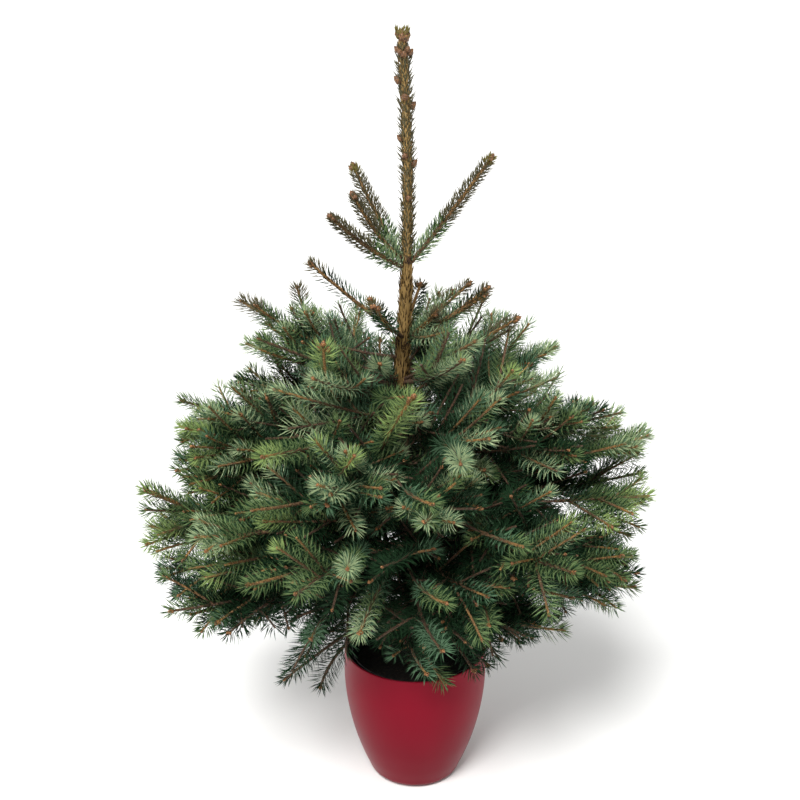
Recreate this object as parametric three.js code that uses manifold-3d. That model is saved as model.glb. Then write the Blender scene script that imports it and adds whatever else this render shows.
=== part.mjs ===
// A potted blue spruce: a young tree in a black nursery pot, which stands in a round red planter.
// Millimetres, +Z up. The origin is the centre of the planter's flat underside.
// The trunk is one tapering stem from its cut at soil level to the bud at the top. Boughs leave it in whorls,
// and each ends just inside a plume of foliage of its own: a flat, feather-shaped solid with swept teeth.
import * as THREE from "three";
import { mergeVertices } from "three/addons/utils/BufferGeometryUtils.js";
import Module from "manifold-3d";

const wasm = await Module();
wasm.setup();

// ---- Driving dimensions ----------------------------------------------------------------------------------

const GAP = 0.35; // between a piece and the limb that carries or crosses it
const PLUME_GAP = 1.4; // between two plumes, less where their surfaces lie aslant

const PLANTER = {
  height: 220,
  bellyRadius: 109.5,
  bellyHeight: 195,
  rimRadius: 108.5,
  heelRadius: 72.5,
  heelHeight: 14,
  footRadius: 52,
  bulge: 2.15, // exponent of the side's curve: 2 would be a parabola
  wall: 3,
  floor: 5,
  floorRadius: 64,
};

const NURSERY_POT = {
  top: 214,
  rimRadius: 102.5,
  rimDepth: 7,
  wallTopRadius: 98,
  footRadius: 60,
  wall: 2,
};

const SOIL = { top: 190, seatRadius: 24, edgeDrop: 5 };

const TRUNK = {
  flareRadius: 17,
  flareFade: 16, // height in which the root flare fades to a third
  footRadius: 11.5,
  lean: -20, // sideways shift, which is complete at leanHeight
  leanHeight: 640,
  collarHeight: 819, // the top whorl, where the leader starts
  collarRadius: 6.6,
  leaderRadius: 5,
  leaderTipRadius: 3.6,
  budRadius: 6,
  budLength: 16,
  tip: 1155,
};

// Whorls of boughs from the top down. A bough is [bearing from +X towards +Y in degrees, length in mm, rise at
// the trunk in degrees]. stagger is how far its boughs stand above or below the whorl's height, curl how far
// they turn up along their length, and bare the share of it with no foliage. Of their plumes, teeth counts the
// teeth on a side, width is half the widest part as a share of the bough, and depth half the thickness.
const WHORLS = [
  {
    height: 819,
    stagger: 0,
    curl: 6,
    bare: 0.3,
    teeth: 0,
    width: 0.09,
    depth: 13,
    boughs: [
      [130, 167, 49],
      [178, 135, 54],
      [216, 152, 37],
      [352, 205, 51],
    ],
  },
  {
    height: 712,
    stagger: 5,
    curl: 8,
    bare: 0.26,
    teeth: 2,
    width: 0.27,
    depth: 18,
    boughs: [
      [352, 146, 32],
      [75, 130, 34],
      [178, 172, 40],
      [246, 130, 36],
    ],
  },
  {
    height: 645,
    stagger: 8,
    curl: 10,
    bare: 0.2,
    teeth: 3,
    width: 0.36,
    depth: 28,
    boughs: [
      [10, 205, 22],
      [76, 195, 18],
      [136, 200, 14],
      [181, 250, 26],
      [234, 225, 18],
      [298, 205, 24],
    ],
  },
  {
    height: 562,
    stagger: 12,
    curl: 12,
    bare: 0.14,
    teeth: 4,
    width: 0.35,
    depth: 38,
    boughs: [
      [350, 325, 6],
      [50, 300, 8],
      [116, 300, 6],
      [176, 335, 3],
      [252, 315, 5],
    ],
  },
  {
    height: 478,
    stagger: 14,
    curl: 12,
    bare: 0,
    teeth: 4,
    width: 0.3,
    depth: 38,
    boughs: [
      [4, 358, -2],
      [58, 330, 2],
      [106, 325, 2],
      [150, 345, 0],
      [194, 388, -4],
      [246, 360, -3],
      [310, 350, -2],
    ],
  },
  {
    height: 394,
    stagger: 14,
    curl: 10,
    bare: 0,
    teeth: 4,
    width: 0.32,
    depth: 38,
    boughs: [
      [346, 350, -8],
      [40, 330, -5],
      [100, 325, -5],
      [163, 380, -6],
      [208, 388, -5],
      [272, 345, -8],
    ],
  },
  {
    height: 318,
    stagger: 8,
    curl: -12,
    bare: 0,
    teeth: 3,
    width: 0.36,
    depth: 27,
    boughs: [
      [15, 235, -6],
      [90, 230, -6],
      [168, 290, -5],
      [222, 262, -5],
      [296, 210, -5],
    ],
  },
];

const BOUGH = {
  footRadius: 4.6,
  tipRadius: 2.4,
  socket: 14, // how far a bough runs into its plume
};

const PLUME = {
  footWidth: 9,
  footDepth: 7,
  innerWidth: 0.5, // width at the foot as a share of the widest, if the teeth began there
  widest: 0.34, // place of the widest teeth along the plume
  outerWidth: 0.34, // width that the teeth taper to at its tip
  toothPlace: 0.3, // places of a tooth and of the valley past it, in the stretch that each tooth has
  valleyPlace: 0.95,
  valleyWidth: 0.55, // width in the valley as a share of the teeth's
  sweep: 0.8, // how far a tooth leans forward, as a share of its reach
  arch: 0.16, // how far the edges lie below the middle, as a share of the width
  taper: 0.72, // depth at the tip as a share of that at the foot
  lead: 0.22, // share of the plume past its last teeth
  leadFlatness: 0.85, // depth over width there
  unevenWidth: 0.16,
  unevenDepth: 0.2,
};

// Place and share of the full width of each ring in a toothed plume's lead, and in a plume that has no teeth.
const LEAD_RINGS = [
  [0.82, 0.8],
  [0.92, 0.45],
];
const SLIM_RINGS = [
  [0.3, 0.9],
  [0.7, 1],
  [0.92, 0.5],
];

const SIDES = { pot: 32, trunk: 8, bough: 5, plume: 6 };
const SEED = 20;

// ---- Small tools -----------------------------------------------------------------------------------------

const radians = THREE.MathUtils.degToRad;
const mix = THREE.MathUtils.lerp;
const Z_AXIS = new THREE.Vector3(0, 0, 1);

/** A repeatable source of numbers between -1 and 1. */
function scatter(seed) {
  let state = seed;
  return () => {
    state = (state * 1664525 + 1013904223) % 4294967296;
    return (state / 4294967296) * 2 - 1;
  };
}

/** A turned piece: its outline, as [radius, height] pairs from axis to axis, goes round +Z. */
function turned(outline) {
  const points = outline.map(([radius, height]) => new THREE.Vector2(radius, height));
  return new THREE.LatheGeometry(points, SIDES.pot).rotateX(Math.PI / 2);
}

/** A closed skin over rings of equally many points, with one more point at each end. */
function skin(first, rings, last) {
  const sides = rings[0].length;
  const points = [first, ...rings.flat(), last];
  const corner = (ring, side) => 1 + ring * sides + (side % sides);
  const faces = [];
  for (let side = 0; side < sides; side++) {
    faces.push(0, corner(0, side + 1), corner(0, side));
    for (let ring = 1; ring < rings.length; ring++) {
      const [a, b] = [corner(ring - 1, side), corner(ring - 1, side + 1)];
      const [c, d] = [corner(ring, side), corner(ring, side + 1)];
      faces.push(a, b, c, b, d, c);
    }
    faces.push(points.length - 1, corner(rings.length - 1, side), corner(rings.length - 1, side + 1));
  }
  return new THREE.BufferGeometry().setFromPoints(points).setIndex(faces);
}

/** The points of one ring across a frame: pointAt(c, s) gives [sideways, upward, forward] for an angle. */
function ringOf(frame, sides, pointAt) {
  return Array.from({ length: sides }, (_, i) => {
    const angle = (2 * Math.PI * i) / sides;
    const [sideways, upward, forward] = pointAt(Math.cos(angle), Math.sin(angle));
    return frame.point
      .clone()
      .addScaledVector(frame.side, sideways)
      .addScaledVector(frame.up, upward)
      .addScaledVector(frame.along, forward);
  });
}

/** A closed three.js geometry as a solid. */
function solidOf(geometry) {
  const bare = geometry.clone();
  bare.deleteAttribute("normal");
  bare.deleteAttribute("uv");
  const merged = mergeVertices(bare, 1e-4);
  const mesh = {
    numProp: 3,
    vertProperties: merged.attributes.position.array,
    triVerts: new Uint32Array(merged.index.array),
  };
  return new wasm.Manifold(new wasm.Mesh(mesh));
}

/** A solid as a three.js geometry. */
function geometryOf(solid) {
  const { vertProperties, triVerts } = solid.getMesh();
  const geometry = new THREE.BufferGeometry();
  geometry.setAttribute("position", new THREE.BufferAttribute(vertProperties, 3));
  geometry.setIndex(new THREE.BufferAttribute(triVerts, 1));
  geometry.computeVertexNormals();
  return geometry;
}

function boxesMeet(a, b) {
  const [p, q] = [a.boundingBox(), b.boundingBox()];
  return [0, 1, 2].every((k) => p.min[k] <= q.max[k] && q.min[k] <= p.max[k]);
}

/** What is left of a solid after every cutter: the biggest body, where they part it. */
function cutBy(solid, cutters) {
  const left = cutters.reduce((rest, cutter) => (boxesMeet(rest, cutter) ? rest.subtract(cutter) : rest), solid);
  return left.decompose().reduce((best, body) => (body.volume() > best.volume() ? body : best));
}

// ---- Pots and soil ---------------------------------------------------------------------------------------

/** Outer radius of the planter at a height: a rounded heel, then one curve up to the belly and in to the rim. */
function planterRadius(z) {
  const { heelHeight, heelRadius, footRadius, bellyRadius, bellyHeight, rimRadius, height, bulge } = PLANTER;
  if (z < heelHeight) {
    const depth = (heelHeight - z) / heelHeight;
    return footRadius + (heelRadius - footRadius) * Math.sqrt(1 - depth * depth);
  }
  if (z > bellyHeight) return mix(bellyRadius, rimRadius, ((z - bellyHeight) / (height - bellyHeight)) ** 2);
  return bellyRadius - (bellyRadius - heelRadius) * ((bellyHeight - z) / (bellyHeight - heelHeight)) ** bulge;
}

function planter() {
  const { heelHeight, height, wall, floor, floorRadius, footRadius } = PLANTER;
  const heel = [2, 6];
  const side = [heelHeight, 40, 75, 120, 165, height];
  const outer = [...heel, ...side].map((z) => [planterRadius(z), z]);
  const inner = side.toReversed().map((z) => [planterRadius(z) - wall, z]);
  return turned([[0, 0], [footRadius, 0], ...outer, ...inner, [floorRadius, floor], [0, floor]]);
}

/** The nursery pot's outer radius at a height. */
function nurseryRadius(z) {
  const { wallTopRadius, footRadius, top } = NURSERY_POT;
  return mix(footRadius, wallTopRadius, (z - PLANTER.floor) / (top - PLANTER.floor));
}

function nurseryPot() {
  const { top, rimRadius, rimDepth, wall } = NURSERY_POT;
  const foot = PLANTER.floor;
  const underRim = top - rimDepth;
  return turned([
    [0, foot],
    [nurseryRadius(foot), foot],
    [nurseryRadius(underRim), underRim],
    [rimRadius, underRim],
    [rimRadius, top],
    [nurseryRadius(top) - wall, top],
    [nurseryRadius(foot + wall) - wall, foot + wall],
    [0, foot + wall],
  ]);
}

function soil() {
  const foot = PLANTER.floor + NURSERY_POT.wall;
  const radiusAt = (z) => nurseryRadius(z) - NURSERY_POT.wall - GAP;
  const edge = SOIL.top - SOIL.edgeDrop;
  return turned([
    [0, foot],
    [radiusAt(foot), foot],
    [radiusAt(edge), edge],
    [(SOIL.seatRadius + radiusAt(edge)) / 2, SOIL.top - SOIL.edgeDrop / 3],
    [SOIL.seatRadius, SOIL.top],
    [0, SOIL.top],
  ]);
}

// ---- Trunk and boughs ------------------------------------------------------------------------------------

/** The middle of the trunk at a height. */
function trunkMiddle(z) {
  return new THREE.Vector3(TRUNK.lean * THREE.MathUtils.smoothstep(z, SOIL.top, TRUNK.leanHeight), 0, z);
}

function trunkRadius(z) {
  const { flareRadius, footRadius, flareFade, collarHeight, collarRadius, leaderRadius, leaderTipRadius } = TRUNK;
  const budFoot = TRUNK.tip - TRUNK.budLength;
  if (z <= collarHeight) {
    const flare = (flareRadius - footRadius) * Math.exp((SOIL.top - z) / flareFade);
    return flare + mix(footRadius, collarRadius, (z - SOIL.top) / (collarHeight - SOIL.top));
  }
  if (z <= budFoot) return mix(leaderRadius, leaderTipRadius, (z - collarHeight) / (budFoot - collarHeight));
  return TRUNK.budRadius;
}

function trunk(grow = 0) {
  const { collarHeight, tip, budLength } = TRUNK;
  const lower = [SOIL.top, 200, 215, 240, 300, 380, 460, 540, 620, 700, 770, collarHeight];
  const leader = [collarHeight + 10, 930, 1040, tip - budLength, tip - 0.6 * budLength];
  const rings = [...lower, ...leader].map((z) => {
    const frame = {
      point: trunkMiddle(z),
      side: new THREE.Vector3(1, 0, 0),
      up: new THREE.Vector3(0, 1, 0),
      along: Z_AXIS,
    };
    const radius = trunkRadius(z) + grow;
    return ringOf(frame, SIDES.trunk, (c, s) => [c * radius, s * radius, 0]);
  });
  return skin(trunkMiddle(SOIL.top), rings, trunkMiddle(tip));
}

/** The line of a bough, an arc in an upright plane: it leaves the trunk at a rise, and turns up by its curl. */
class BoughLine {
  constructor(start, bearing, length, rise, curl) {
    Object.assign(this, { start, length, rise: radians(rise), curl: radians(curl) });
    this.out = new THREE.Vector3(Math.cos(radians(bearing)), Math.sin(radians(bearing)), 0);
    this.side = new THREE.Vector3().crossVectors(Z_AXIS, this.out);
  }

  /** The middle of the bough at t from 0 to 1, with its directions there. */
  frameAt(t) {
    const angle = this.rise + this.curl * t;
    const bend = this.length / this.curl;
    const point = this.start
      .clone()
      .addScaledVector(this.out, bend * (Math.sin(angle) - Math.sin(this.rise)))
      .addScaledVector(Z_AXIS, bend * (Math.cos(this.rise) - Math.cos(angle)));
    const along = this.out.clone().multiplyScalar(Math.cos(angle)).addScaledVector(Z_AXIS, Math.sin(angle));
    return { point, along, side: this.side, up: new THREE.Vector3().crossVectors(along, this.side) };
  }
}

/** Every bough of the tree from the top whorl down: its label, its line and its whorl's habits. */
function allBoughs() {
  const random = scatter(SEED);
  return WHORLS.flatMap((habit, w) =>
    habit.boughs.map(([bearing, length, rise], i) => {
      const start = trunkMiddle(habit.height + habit.stagger * random());
      const line = new BoughLine(start, bearing, length, rise, habit.curl);
      return { label: `${w + 1}_${i + 1}`, habit, line, seed: SEED + 17 * w + 3 * i };
    }),
  );
}

function bough({ line, habit }, grow = 0) {
  const end = habit.bare + (BOUGH.socket + grow) / line.length;
  const rings = [0, 0.5, 1].map((share) => {
    const radius = mix(BOUGH.footRadius, BOUGH.tipRadius, share) + grow;
    return ringOf(line.frameAt(end * share), SIDES.bough, (c, s) => [c * radius, s * radius, 0]);
  });
  return skin(line.frameAt(0).point, rings, line.frameAt(end).point);
}

// ---- Foliage ---------------------------------------------------------------------------------------------

/** The width of a plume at the tips of its teeth, as a share of its widest: it tapers to both ends. */
function outlineAt(u) {
  const { widest, innerWidth, outerWidth } = PLUME;
  return u < widest ? mix(innerWidth, 1, u / widest) : mix(1, outerWidth, (u - widest) / (1 - widest));
}

/**
 * The rings of a plume as {u, left, right, depth}: u runs from 0 to 1 along it, and the rest are half sizes.
 * Wide rings make the teeth, and narrow ones the valleys between them.
 */
function plumeRings({ line, habit, seed }) {
  const { footWidth, footDepth, toothPlace, valleyPlace, valleyWidth, lead, leadFlatness, taper } = PLUME;
  const random = scatter(seed * 7919);
  const uneven = (size, share) => size * (1 + share * random());
  const widest = habit.width * line.length;
  const rings = [{ u: 0, left: footWidth, right: footWidth, depth: footDepth }];
  for (let tooth = 0; tooth < habit.teeth; tooth++) {
    for (const [place, share] of [[toothPlace, 1], [valleyPlace, valleyWidth]]) {
      const u = ((tooth + place) / habit.teeth) * (1 - lead);
      const half = widest * share * outlineAt(u);
      const depth = uneven(habit.depth * mix(1, taper, u), PLUME.unevenDepth);
      rings.push({ u, left: uneven(half, PLUME.unevenWidth), right: uneven(half, PLUME.unevenWidth), depth });
    }
  }
  for (const [u, share] of habit.teeth ? LEAD_RINGS : SLIM_RINGS) {
    const half = Math.min(widest, habit.depth) * share;
    rings.push({ u, left: uneven(half, PLUME.unevenWidth), right: half, depth: half * leadFlatness });
  }
  return rings;
}

/** A plume of foliage round the outer part of a bough, from its bare stretch to its tip. */
function plume(which, grow = 0) {
  const { line, habit } = which;
  const place = (u) => line.frameAt(mix(habit.bare, 1, u));
  const rings = plumeRings(which).map(({ u, left, right, depth }) =>
    ringOf(place(u), SIDES.plume, (c, s) => {
      const half = c > 0 ? left : right;
      const out = Math.abs(c) * half;
      const sag = (PLUME.arch * out * out) / (habit.width * line.length);
      const forward = PLUME.sweep * out + (Math.abs(c) * grow) / 2;
      return [c * (half + grow), s * (depth + grow) - sag, forward];
    }),
  );
  const foot = place(0);
  const tip = place(1);
  foot.point.addScaledVector(foot.along, -grow);
  tip.point.addScaledVector(tip.along, grow);
  return skin(foot.point, rings, tip.point);
}

// ---- The object ------------------------------------------------------------------------------------------

const FINISHES = {
  planter: { color: 0x8e2130, roughness: 0.42 },
  nurseryPot: { color: 0x141615, roughness: 0.35 },
  soil: { color: 0x2b221b, roughness: 0.95 },
  bark: { color: 0x6d4a2c, roughness: 0.85 },
  foliage: { color: 0x3d6b4c, roughness: 0.6 },
};

const spruce = new THREE.Group();

function addPiece(name, geometry, finish) {
  const material = new THREE.MeshStandardMaterial({ ...FINISHES[finish], metalness: 0 });
  const piece = new THREE.Mesh(geometry, material);
  piece.name = name;
  spruce.add(piece);
}

addPiece("planter", planter(), "planter");
addPiece("nursery_pot", nurseryPot(), "nurseryPot");
addPiece("soil", soil(), "soil");
addPiece("trunk", geometryOf(solidOf(trunk())), "bark");

const boughs = allBoughs();
const limbs = [solidOf(trunk(GAP))];
for (const which of boughs.filter(({ habit }) => habit.bare > 0)) {
  addPiece(`bough_${which.label}`, geometryOf(cutBy(solidOf(bough(which)), limbs)), "bark");
  limbs.push(solidOf(bough(which, GAP)));
}

const plumes = [];
for (const which of boughs) {
  addPiece(`foliage_${which.label}`, geometryOf(cutBy(solidOf(plume(which)), [...limbs, ...plumes])), "foliage");
  plumes.push(solidOf(plume(which, PLUME_GAP)));
}

export default spruce;
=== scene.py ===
"""A potted blue spruce, finished round its frame.

The frame gives the pots, the trunk, the boughs and one plume of foliage for each bough. Every plume is filled
with shoots by a seeded branching rule: side shoots leave the bough in turn, grow until they reach the plume's
skin and bear side shoots of their own. Geometry nodes grow needles, buds, twigs and bark on those lines.
"""

import math
import random
from dataclasses import dataclass
from functools import lru_cache

import bmesh
import bpy
from bpy.props import FloatProperty, FloatVectorProperty, IntProperty, PointerProperty
from mathutils import Matrix, Vector, noise
from mathutils.bvhtree import BVHTree


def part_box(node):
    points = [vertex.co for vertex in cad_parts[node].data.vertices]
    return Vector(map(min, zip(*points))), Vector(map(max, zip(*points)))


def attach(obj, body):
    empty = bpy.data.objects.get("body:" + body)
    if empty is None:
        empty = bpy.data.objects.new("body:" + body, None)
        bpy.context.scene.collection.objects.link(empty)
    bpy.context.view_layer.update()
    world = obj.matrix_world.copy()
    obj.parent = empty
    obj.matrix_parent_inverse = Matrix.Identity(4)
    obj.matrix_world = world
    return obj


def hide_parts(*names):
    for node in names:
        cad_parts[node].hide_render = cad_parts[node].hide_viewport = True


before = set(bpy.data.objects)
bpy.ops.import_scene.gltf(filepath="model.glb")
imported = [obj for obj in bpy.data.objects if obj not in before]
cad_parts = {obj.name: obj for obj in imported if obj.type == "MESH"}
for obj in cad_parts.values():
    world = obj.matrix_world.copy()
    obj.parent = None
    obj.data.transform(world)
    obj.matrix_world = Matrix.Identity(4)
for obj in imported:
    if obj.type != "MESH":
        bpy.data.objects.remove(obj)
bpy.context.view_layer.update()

bl_info = {
    "name": "Potted Blue Spruce",
    "version": (1, 0, 0),
    "blender": (4, 5, 0),
    "location": "View3D > Sidebar > Spruce",
    "description": "Grows needles, twigs, buds and bark on a potted spruce, and finishes its pots",
    "category": "Add Mesh",
}

MM = 0.001
UP = Vector((0, 0, 1))
AHEAD = Vector((0, -1, 0))
BODY = "root"


# ---- Nodes and colours -----------------------------------------------------------------------------------

PLACE = "ShaderNodeTexCoord"
NOISE = "ShaderNodeTexNoise"
RAMP = "ShaderNodeValToRGB"
MIX = "ShaderNodeMix"
BUMP = "ShaderNodeBump"
SPLIT = "ShaderNodeSeparateXYZ"
RANGE = "ShaderNodeMapRange"
MATH = "ShaderNodeMath"
VECTOR = "ShaderNodeVectorMath"
FIELD = "GeometryNodeInputNamedAttribute"
CHANCE = "FunctionNodeRandomValue"


def linear(hex_code):
    """An sRGB hex colour as linear RGBA."""
    parts = [int(hex_code[i : i + 2], 16) / 255 for i in (1, 3, 5)]
    return (*[c / 12.92 if c <= 0.04045 else ((c + 0.055) / 1.055) ** 2.4 for c in parts], 1.0)


def add(tree, kind, inputs=(), stops=(), **settings):
    """Adds a node to a tree. Inputs are values, or nodes or sockets to link from, either by name or in order.
    Stops are a colour ramp's places and colours. Settings are properties of the node."""
    node = tree.nodes.new(kind)
    for name, value in settings.items():
        setattr(node, name, value)
    for name, value in inputs.items() if isinstance(inputs, dict) else enumerate(inputs):
        if isinstance(value, bpy.types.Node):
            value = next(s for s in value.outputs if s.enabled)
        if isinstance(value, bpy.types.NodeSocket):
            tree.links.new(value, node.inputs[name])
        else:
            node.inputs[name].default_value = value
    for _ in stops[2:]:
        node.color_ramp.elements.new(0.5)
    for element, (place, colour) in zip(node.color_ramp.elements if stops else (), stops):
        element.position = place
        element.color = linear(colour) if isinstance(colour, str) else colour
    return node


def material(name, build):
    """A material named for what it is made of. build(tree) gives the inputs of its surface shader."""
    made = bpy.data.materials.new(name)
    made.use_nodes = True
    tree = made.node_tree
    tree.nodes.clear()
    skin = add(tree, "ShaderNodeBsdfPrincipled", build(tree))
    add(tree, "ShaderNodeOutputMaterial", {"Surface": skin})
    return made


# ---- Materials -------------------------------------------------------------------------------------------


def waxy_needle(name, colour):
    """A live needle: a hard leaf under a thin bloom of wax. The paler it is, the more wax there is."""
    gloss = 0.03 + 0.5 * colour[1]
    return material(
        f"waxy_needle_{name}",
        lambda tree: {"Base Color": (*colour, 1), "Roughness": 0.5, "Specular IOR Level": gloss},
    )


def young_bark(tree):
    """One-year bark, ribbed with leaf bases 1 to 2 mm apart: tan at the tip, turning a dull brown towards the
    foot of the shoot, paler on the ribs."""
    place = add(tree, PLACE).outputs["Object"]
    ribs = add(tree, NOISE, {"Vector": place, "Scale": 560, "Detail": 2.5})
    zones = add(tree, NOISE, {"Vector": place, "Scale": 22, "Detail": 1})
    warm = add(tree, RAMP, [ribs], ((0.34, "#5A3D1C"), (0.52, "#8F6836"), (0.7, "#BA945C")))
    dark = add(tree, RAMP, [ribs], ((0.34, "#38271A"), (0.52, "#624730"), (0.72, "#886A48")))
    left = add(tree, "ShaderNodeAttribute", attribute_name="left").outputs["Fac"]
    age = add(tree, MATH, (left, 8.0, zones), operation="MULTIPLY_ADD")
    share = add(tree, RAMP, [age], ((0.5, "#000000"), (0.84, "#FFFFFF")))
    mixed = add(tree, MIX, {0: share, 6: warm, 7: dark}, data_type="RGBA")
    bump = add(tree, BUMP, {"Strength": 0.5, "Distance": 0.5 * MM, "Height": ribs})
    return {"Base Color": mixed.outputs[2], "Roughness": 0.7, "Normal": bump}


def trunk_bark(tree):
    """Trunk bark: golden brown fibres that run up its upper part, greyer and rougher flakes lower down, matt.
    The fibres are about 0.5 mm wide, too fine to show, so they are drawn about 2 mm wide."""
    place = add(tree, PLACE).outputs["Object"]
    grain = add(tree, "ShaderNodeMapping", {"Vector": place, "Scale": (1, 1, 0.14)})
    fibres = add(tree, NOISE, {"Vector": grain, "Scale": 520, "Detail": 4, "Roughness": 0.65})
    golden = add(tree, RAMP, [fibres], ((0.38, "#30271C"), (0.5, "#7A6848"), (0.62, "#B2A176")))
    grey = add(tree, RAMP, [fibres], ((0.34, "#241A13"), (0.5, "#4F3F31"), (0.68, "#7F6D5A")))
    height = add(tree, SPLIT, [place]).outputs["Z"]
    old = add(tree, RANGE, {"Value": height, "From Min": 0.66, "From Max": 0.46})
    mixed = add(tree, MIX, {0: old, 6: golden, 7: grey}, data_type="RGBA")
    bump = add(tree, BUMP, {"Strength": 0.6, "Distance": 0.8 * MM, "Height": fibres})
    return {"Base Color": mixed.outputs[2], "Roughness": 0.8, "Normal": bump}


def bough_bark(tree):
    """Bough bark: dull brown and quite matt, with ribs about 2 mm apart that are paler than the grooves."""
    place = add(tree, PLACE).outputs["Object"]
    ribs = add(tree, NOISE, {"Vector": place, "Scale": 480, "Detail": 3})
    colour = add(tree, RAMP, [ribs], ((0.34, "#281B13"), (0.52, "#4E3929"), (0.7, "#785C42")))
    bump = add(tree, BUMP, {"Strength": 0.6, "Distance": 0.7 * MM, "Height": ribs})
    return {"Base Color": colour, "Roughness": 0.76, "Normal": bump}


def bud_scales(tree):
    """Resting buds: dry papery scales about 1.5 mm wide with a faint resin gloss, tan, darker high up."""
    place = add(tree, PLACE).outputs["Object"]
    scales = add(tree, "ShaderNodeTexVoronoi", {"Vector": place, "Scale": 620}).outputs["Distance"]
    tan = add(tree, RAMP, [scales], ((0.06, "#C39560"), (0.36, "#96653A"), (0.7, "#553823")))
    brown = add(tree, RAMP, [scales], ((0.06, "#A1774C"), (0.36, "#735033"), (0.7, "#453021")))
    height = add(tree, SPLIT, [place]).outputs["Z"]
    top = add(tree, RANGE, {"Value": height, "From Min": 0.78, "From Max": 0.88, "To Max": 0.85})
    mixed = add(tree, MIX, {0: top, 6: tan, 7: brown}, data_type="RGBA")
    return {"Base Color": mixed.outputs[2], "Roughness": 0.55, "Specular IOR Level": 0.4}


def dead_scales(tree):
    """Last year's bud scales, left dry round each whorl: dark brown and matt, with paler frayed edges about
    1.5 mm wide."""
    place = add(tree, PLACE).outputs["Object"]
    fray = add(tree, NOISE, {"Vector": place, "Scale": 700, "Detail": 3})
    colour = add(tree, RAMP, [fray], ((0.36, "#20140D"), (0.54, "#46301F"), (0.7, "#7A5C40")))
    return {"Base Color": colour, "Roughness": 0.85}


def satin_red_plastic(colour):
    """Moulded polypropylene under a satin lacquer: deep red with broad soft reflections, and painted shade
    that makes it darker towards its foot. The lacquer's grain is about 1 mm and only just breaks the
    reflections."""

    def build(tree):
        place = add(tree, PLACE).outputs["Object"]
        cloud = add(tree, NOISE, {"Vector": place, "Scale": 8, "Detail": 2})
        height = add(tree, SPLIT, [place]).outputs["Z"]
        # Painted shade: the red runs from 0.74 to 1.1 of its colour by a random cloud, and is pulled darker
        # towards the foot.
        painted_foot_shade = add(tree, RANGE, {"Value": height, "From Max": 0.17, "To Min": -0.55, "To Max": 0.15})
        depth = add(tree, MATH, (cloud, 0.5, painted_foot_shade), operation="MULTIPLY_ADD")
        dark, light = ((*[c * share for c in colour], 1) for share in (0.74, 1.1))
        cloud_and_painted_shade = add(tree, RAMP, [depth], ((0.0, dark), (0.6, light)))
        gloss = add(tree, RANGE, {"Value": cloud, "To Min": 0.28, "To Max": 0.38})
        grain = add(tree, NOISE, {"Vector": place, "Scale": 900, "Detail": 1})
        bump = add(tree, BUMP, {"Strength": 0.05, "Distance": 0.1 * MM, "Height": grain})
        return {"Base Color": cloud_and_painted_shade, "Roughness": gloss, "Normal": bump, "Specular IOR Level": 0.09}

    return build


def glossy_black_plastic(tree):
    """Thin black polyethylene: glossy where it is clean, with a film of dried compost and water marks."""
    place = add(tree, PLACE).outputs["Object"]
    dust = add(tree, NOISE, {"Vector": place, "Scale": 70, "Detail": 6, "Roughness": 0.7})
    colour = add(tree, RAMP, [dust], ((0.5, "#0B0D0C"), (0.64, "#1A1916"), (0.8, "#38332A")))
    gloss = add(tree, RANGE, {"Value": dust, "From Min": 0.4, "To Min": 0.08, "To Max": 0.5})
    return {"Base Color": colour, "Roughness": gloss}


def moist_compost(tree):
    """Moist potting compost: near-black crumbs of 2 to 5 mm with pale fibres between them, without gloss."""
    place = add(tree, PLACE).outputs["Object"]
    crumbs = add(tree, NOISE, {"Vector": place, "Scale": 260, "Detail": 5, "Roughness": 0.7})
    colour = add(tree, RAMP, [crumbs], ((0.36, "#0B0907"), (0.56, "#1D1711"), (0.74, "#443627")))
    bump = add(tree, BUMP, {"Strength": 0.8, "Distance": 2 * MM, "Height": crumbs})
    return {"Base Color": colour, "Roughness": 0.92, "Normal": bump}


# ---- Reading the frame -----------------------------------------------------------------------------------

TIP_NEEDLES = 9 * MM  # from the end of a bough's twig to the tips of the needles round it
TIP_BUDS = 1 * MM  # the same in the two top whorls, where the buds stand clear of the needles
TIP_SHIFTS = {  # of boughs whose tip lies beside the furthest corner of their plume
    "1_1": (0.001, 0, 0.006),
    "1_2": (0.008, 0, 0.002),
    "2_2": (0.004, 0, -0.019),
    "2_3": (-0.003, 0, 0.004),
    "2_4": (0.0075, 0, 0.006),
    "6_6": (0.03, 0.05, 0.02),
}


def middle_line(node):
    """Middle and radius of an upright round node at each of its rings, from the lowest up."""
    rings = {}
    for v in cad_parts[node].data.vertices:
        rings.setdefault(round(v.co.z, 5), []).append(v.co)
    line = []
    for height in sorted(rings):
        across = [c.x for c in rings[height]]
        deep = [c.y for c in rings[height]]
        radius = (max(across) - min(across)) / 2
        if radius > MM:
            middle = Vector(((max(across) + min(across)) / 2, (max(deep) + min(deep)) / 2, height))
            line.append((middle, radius))
    return line


def below_bud(line):
    """The rings of the trunk below the one where it widens into the bud at its top."""
    widens = next(i for i in range(len(line) - 1, 0, -1) if line[i][1] > line[i - 1][1] + MM)
    return line[:widens]


TRUNK = below_bud(middle_line("trunk"))
SOIL_TOP, TREE_TOP = (corner.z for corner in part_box("trunk"))
BUD_FOOT = TREE_TOP - 15 * MM
LEADER_FOOT = 0.836
SLIM = 0.3  # by how much the trunk is slimmer where it shows between the whorls
SLIM_FROM, SLIM_TO = 0.62, 0.84
SLIM_RAMPS = 0.03, 0.02  # lengths over which it gets so, and over which that ends
BOW_FOOT = 0.68
TRUNK_BOW = Vector((0.0075, 0.002, 0))
LIMB_STEPS = 40  # in which a limb is measured


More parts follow.
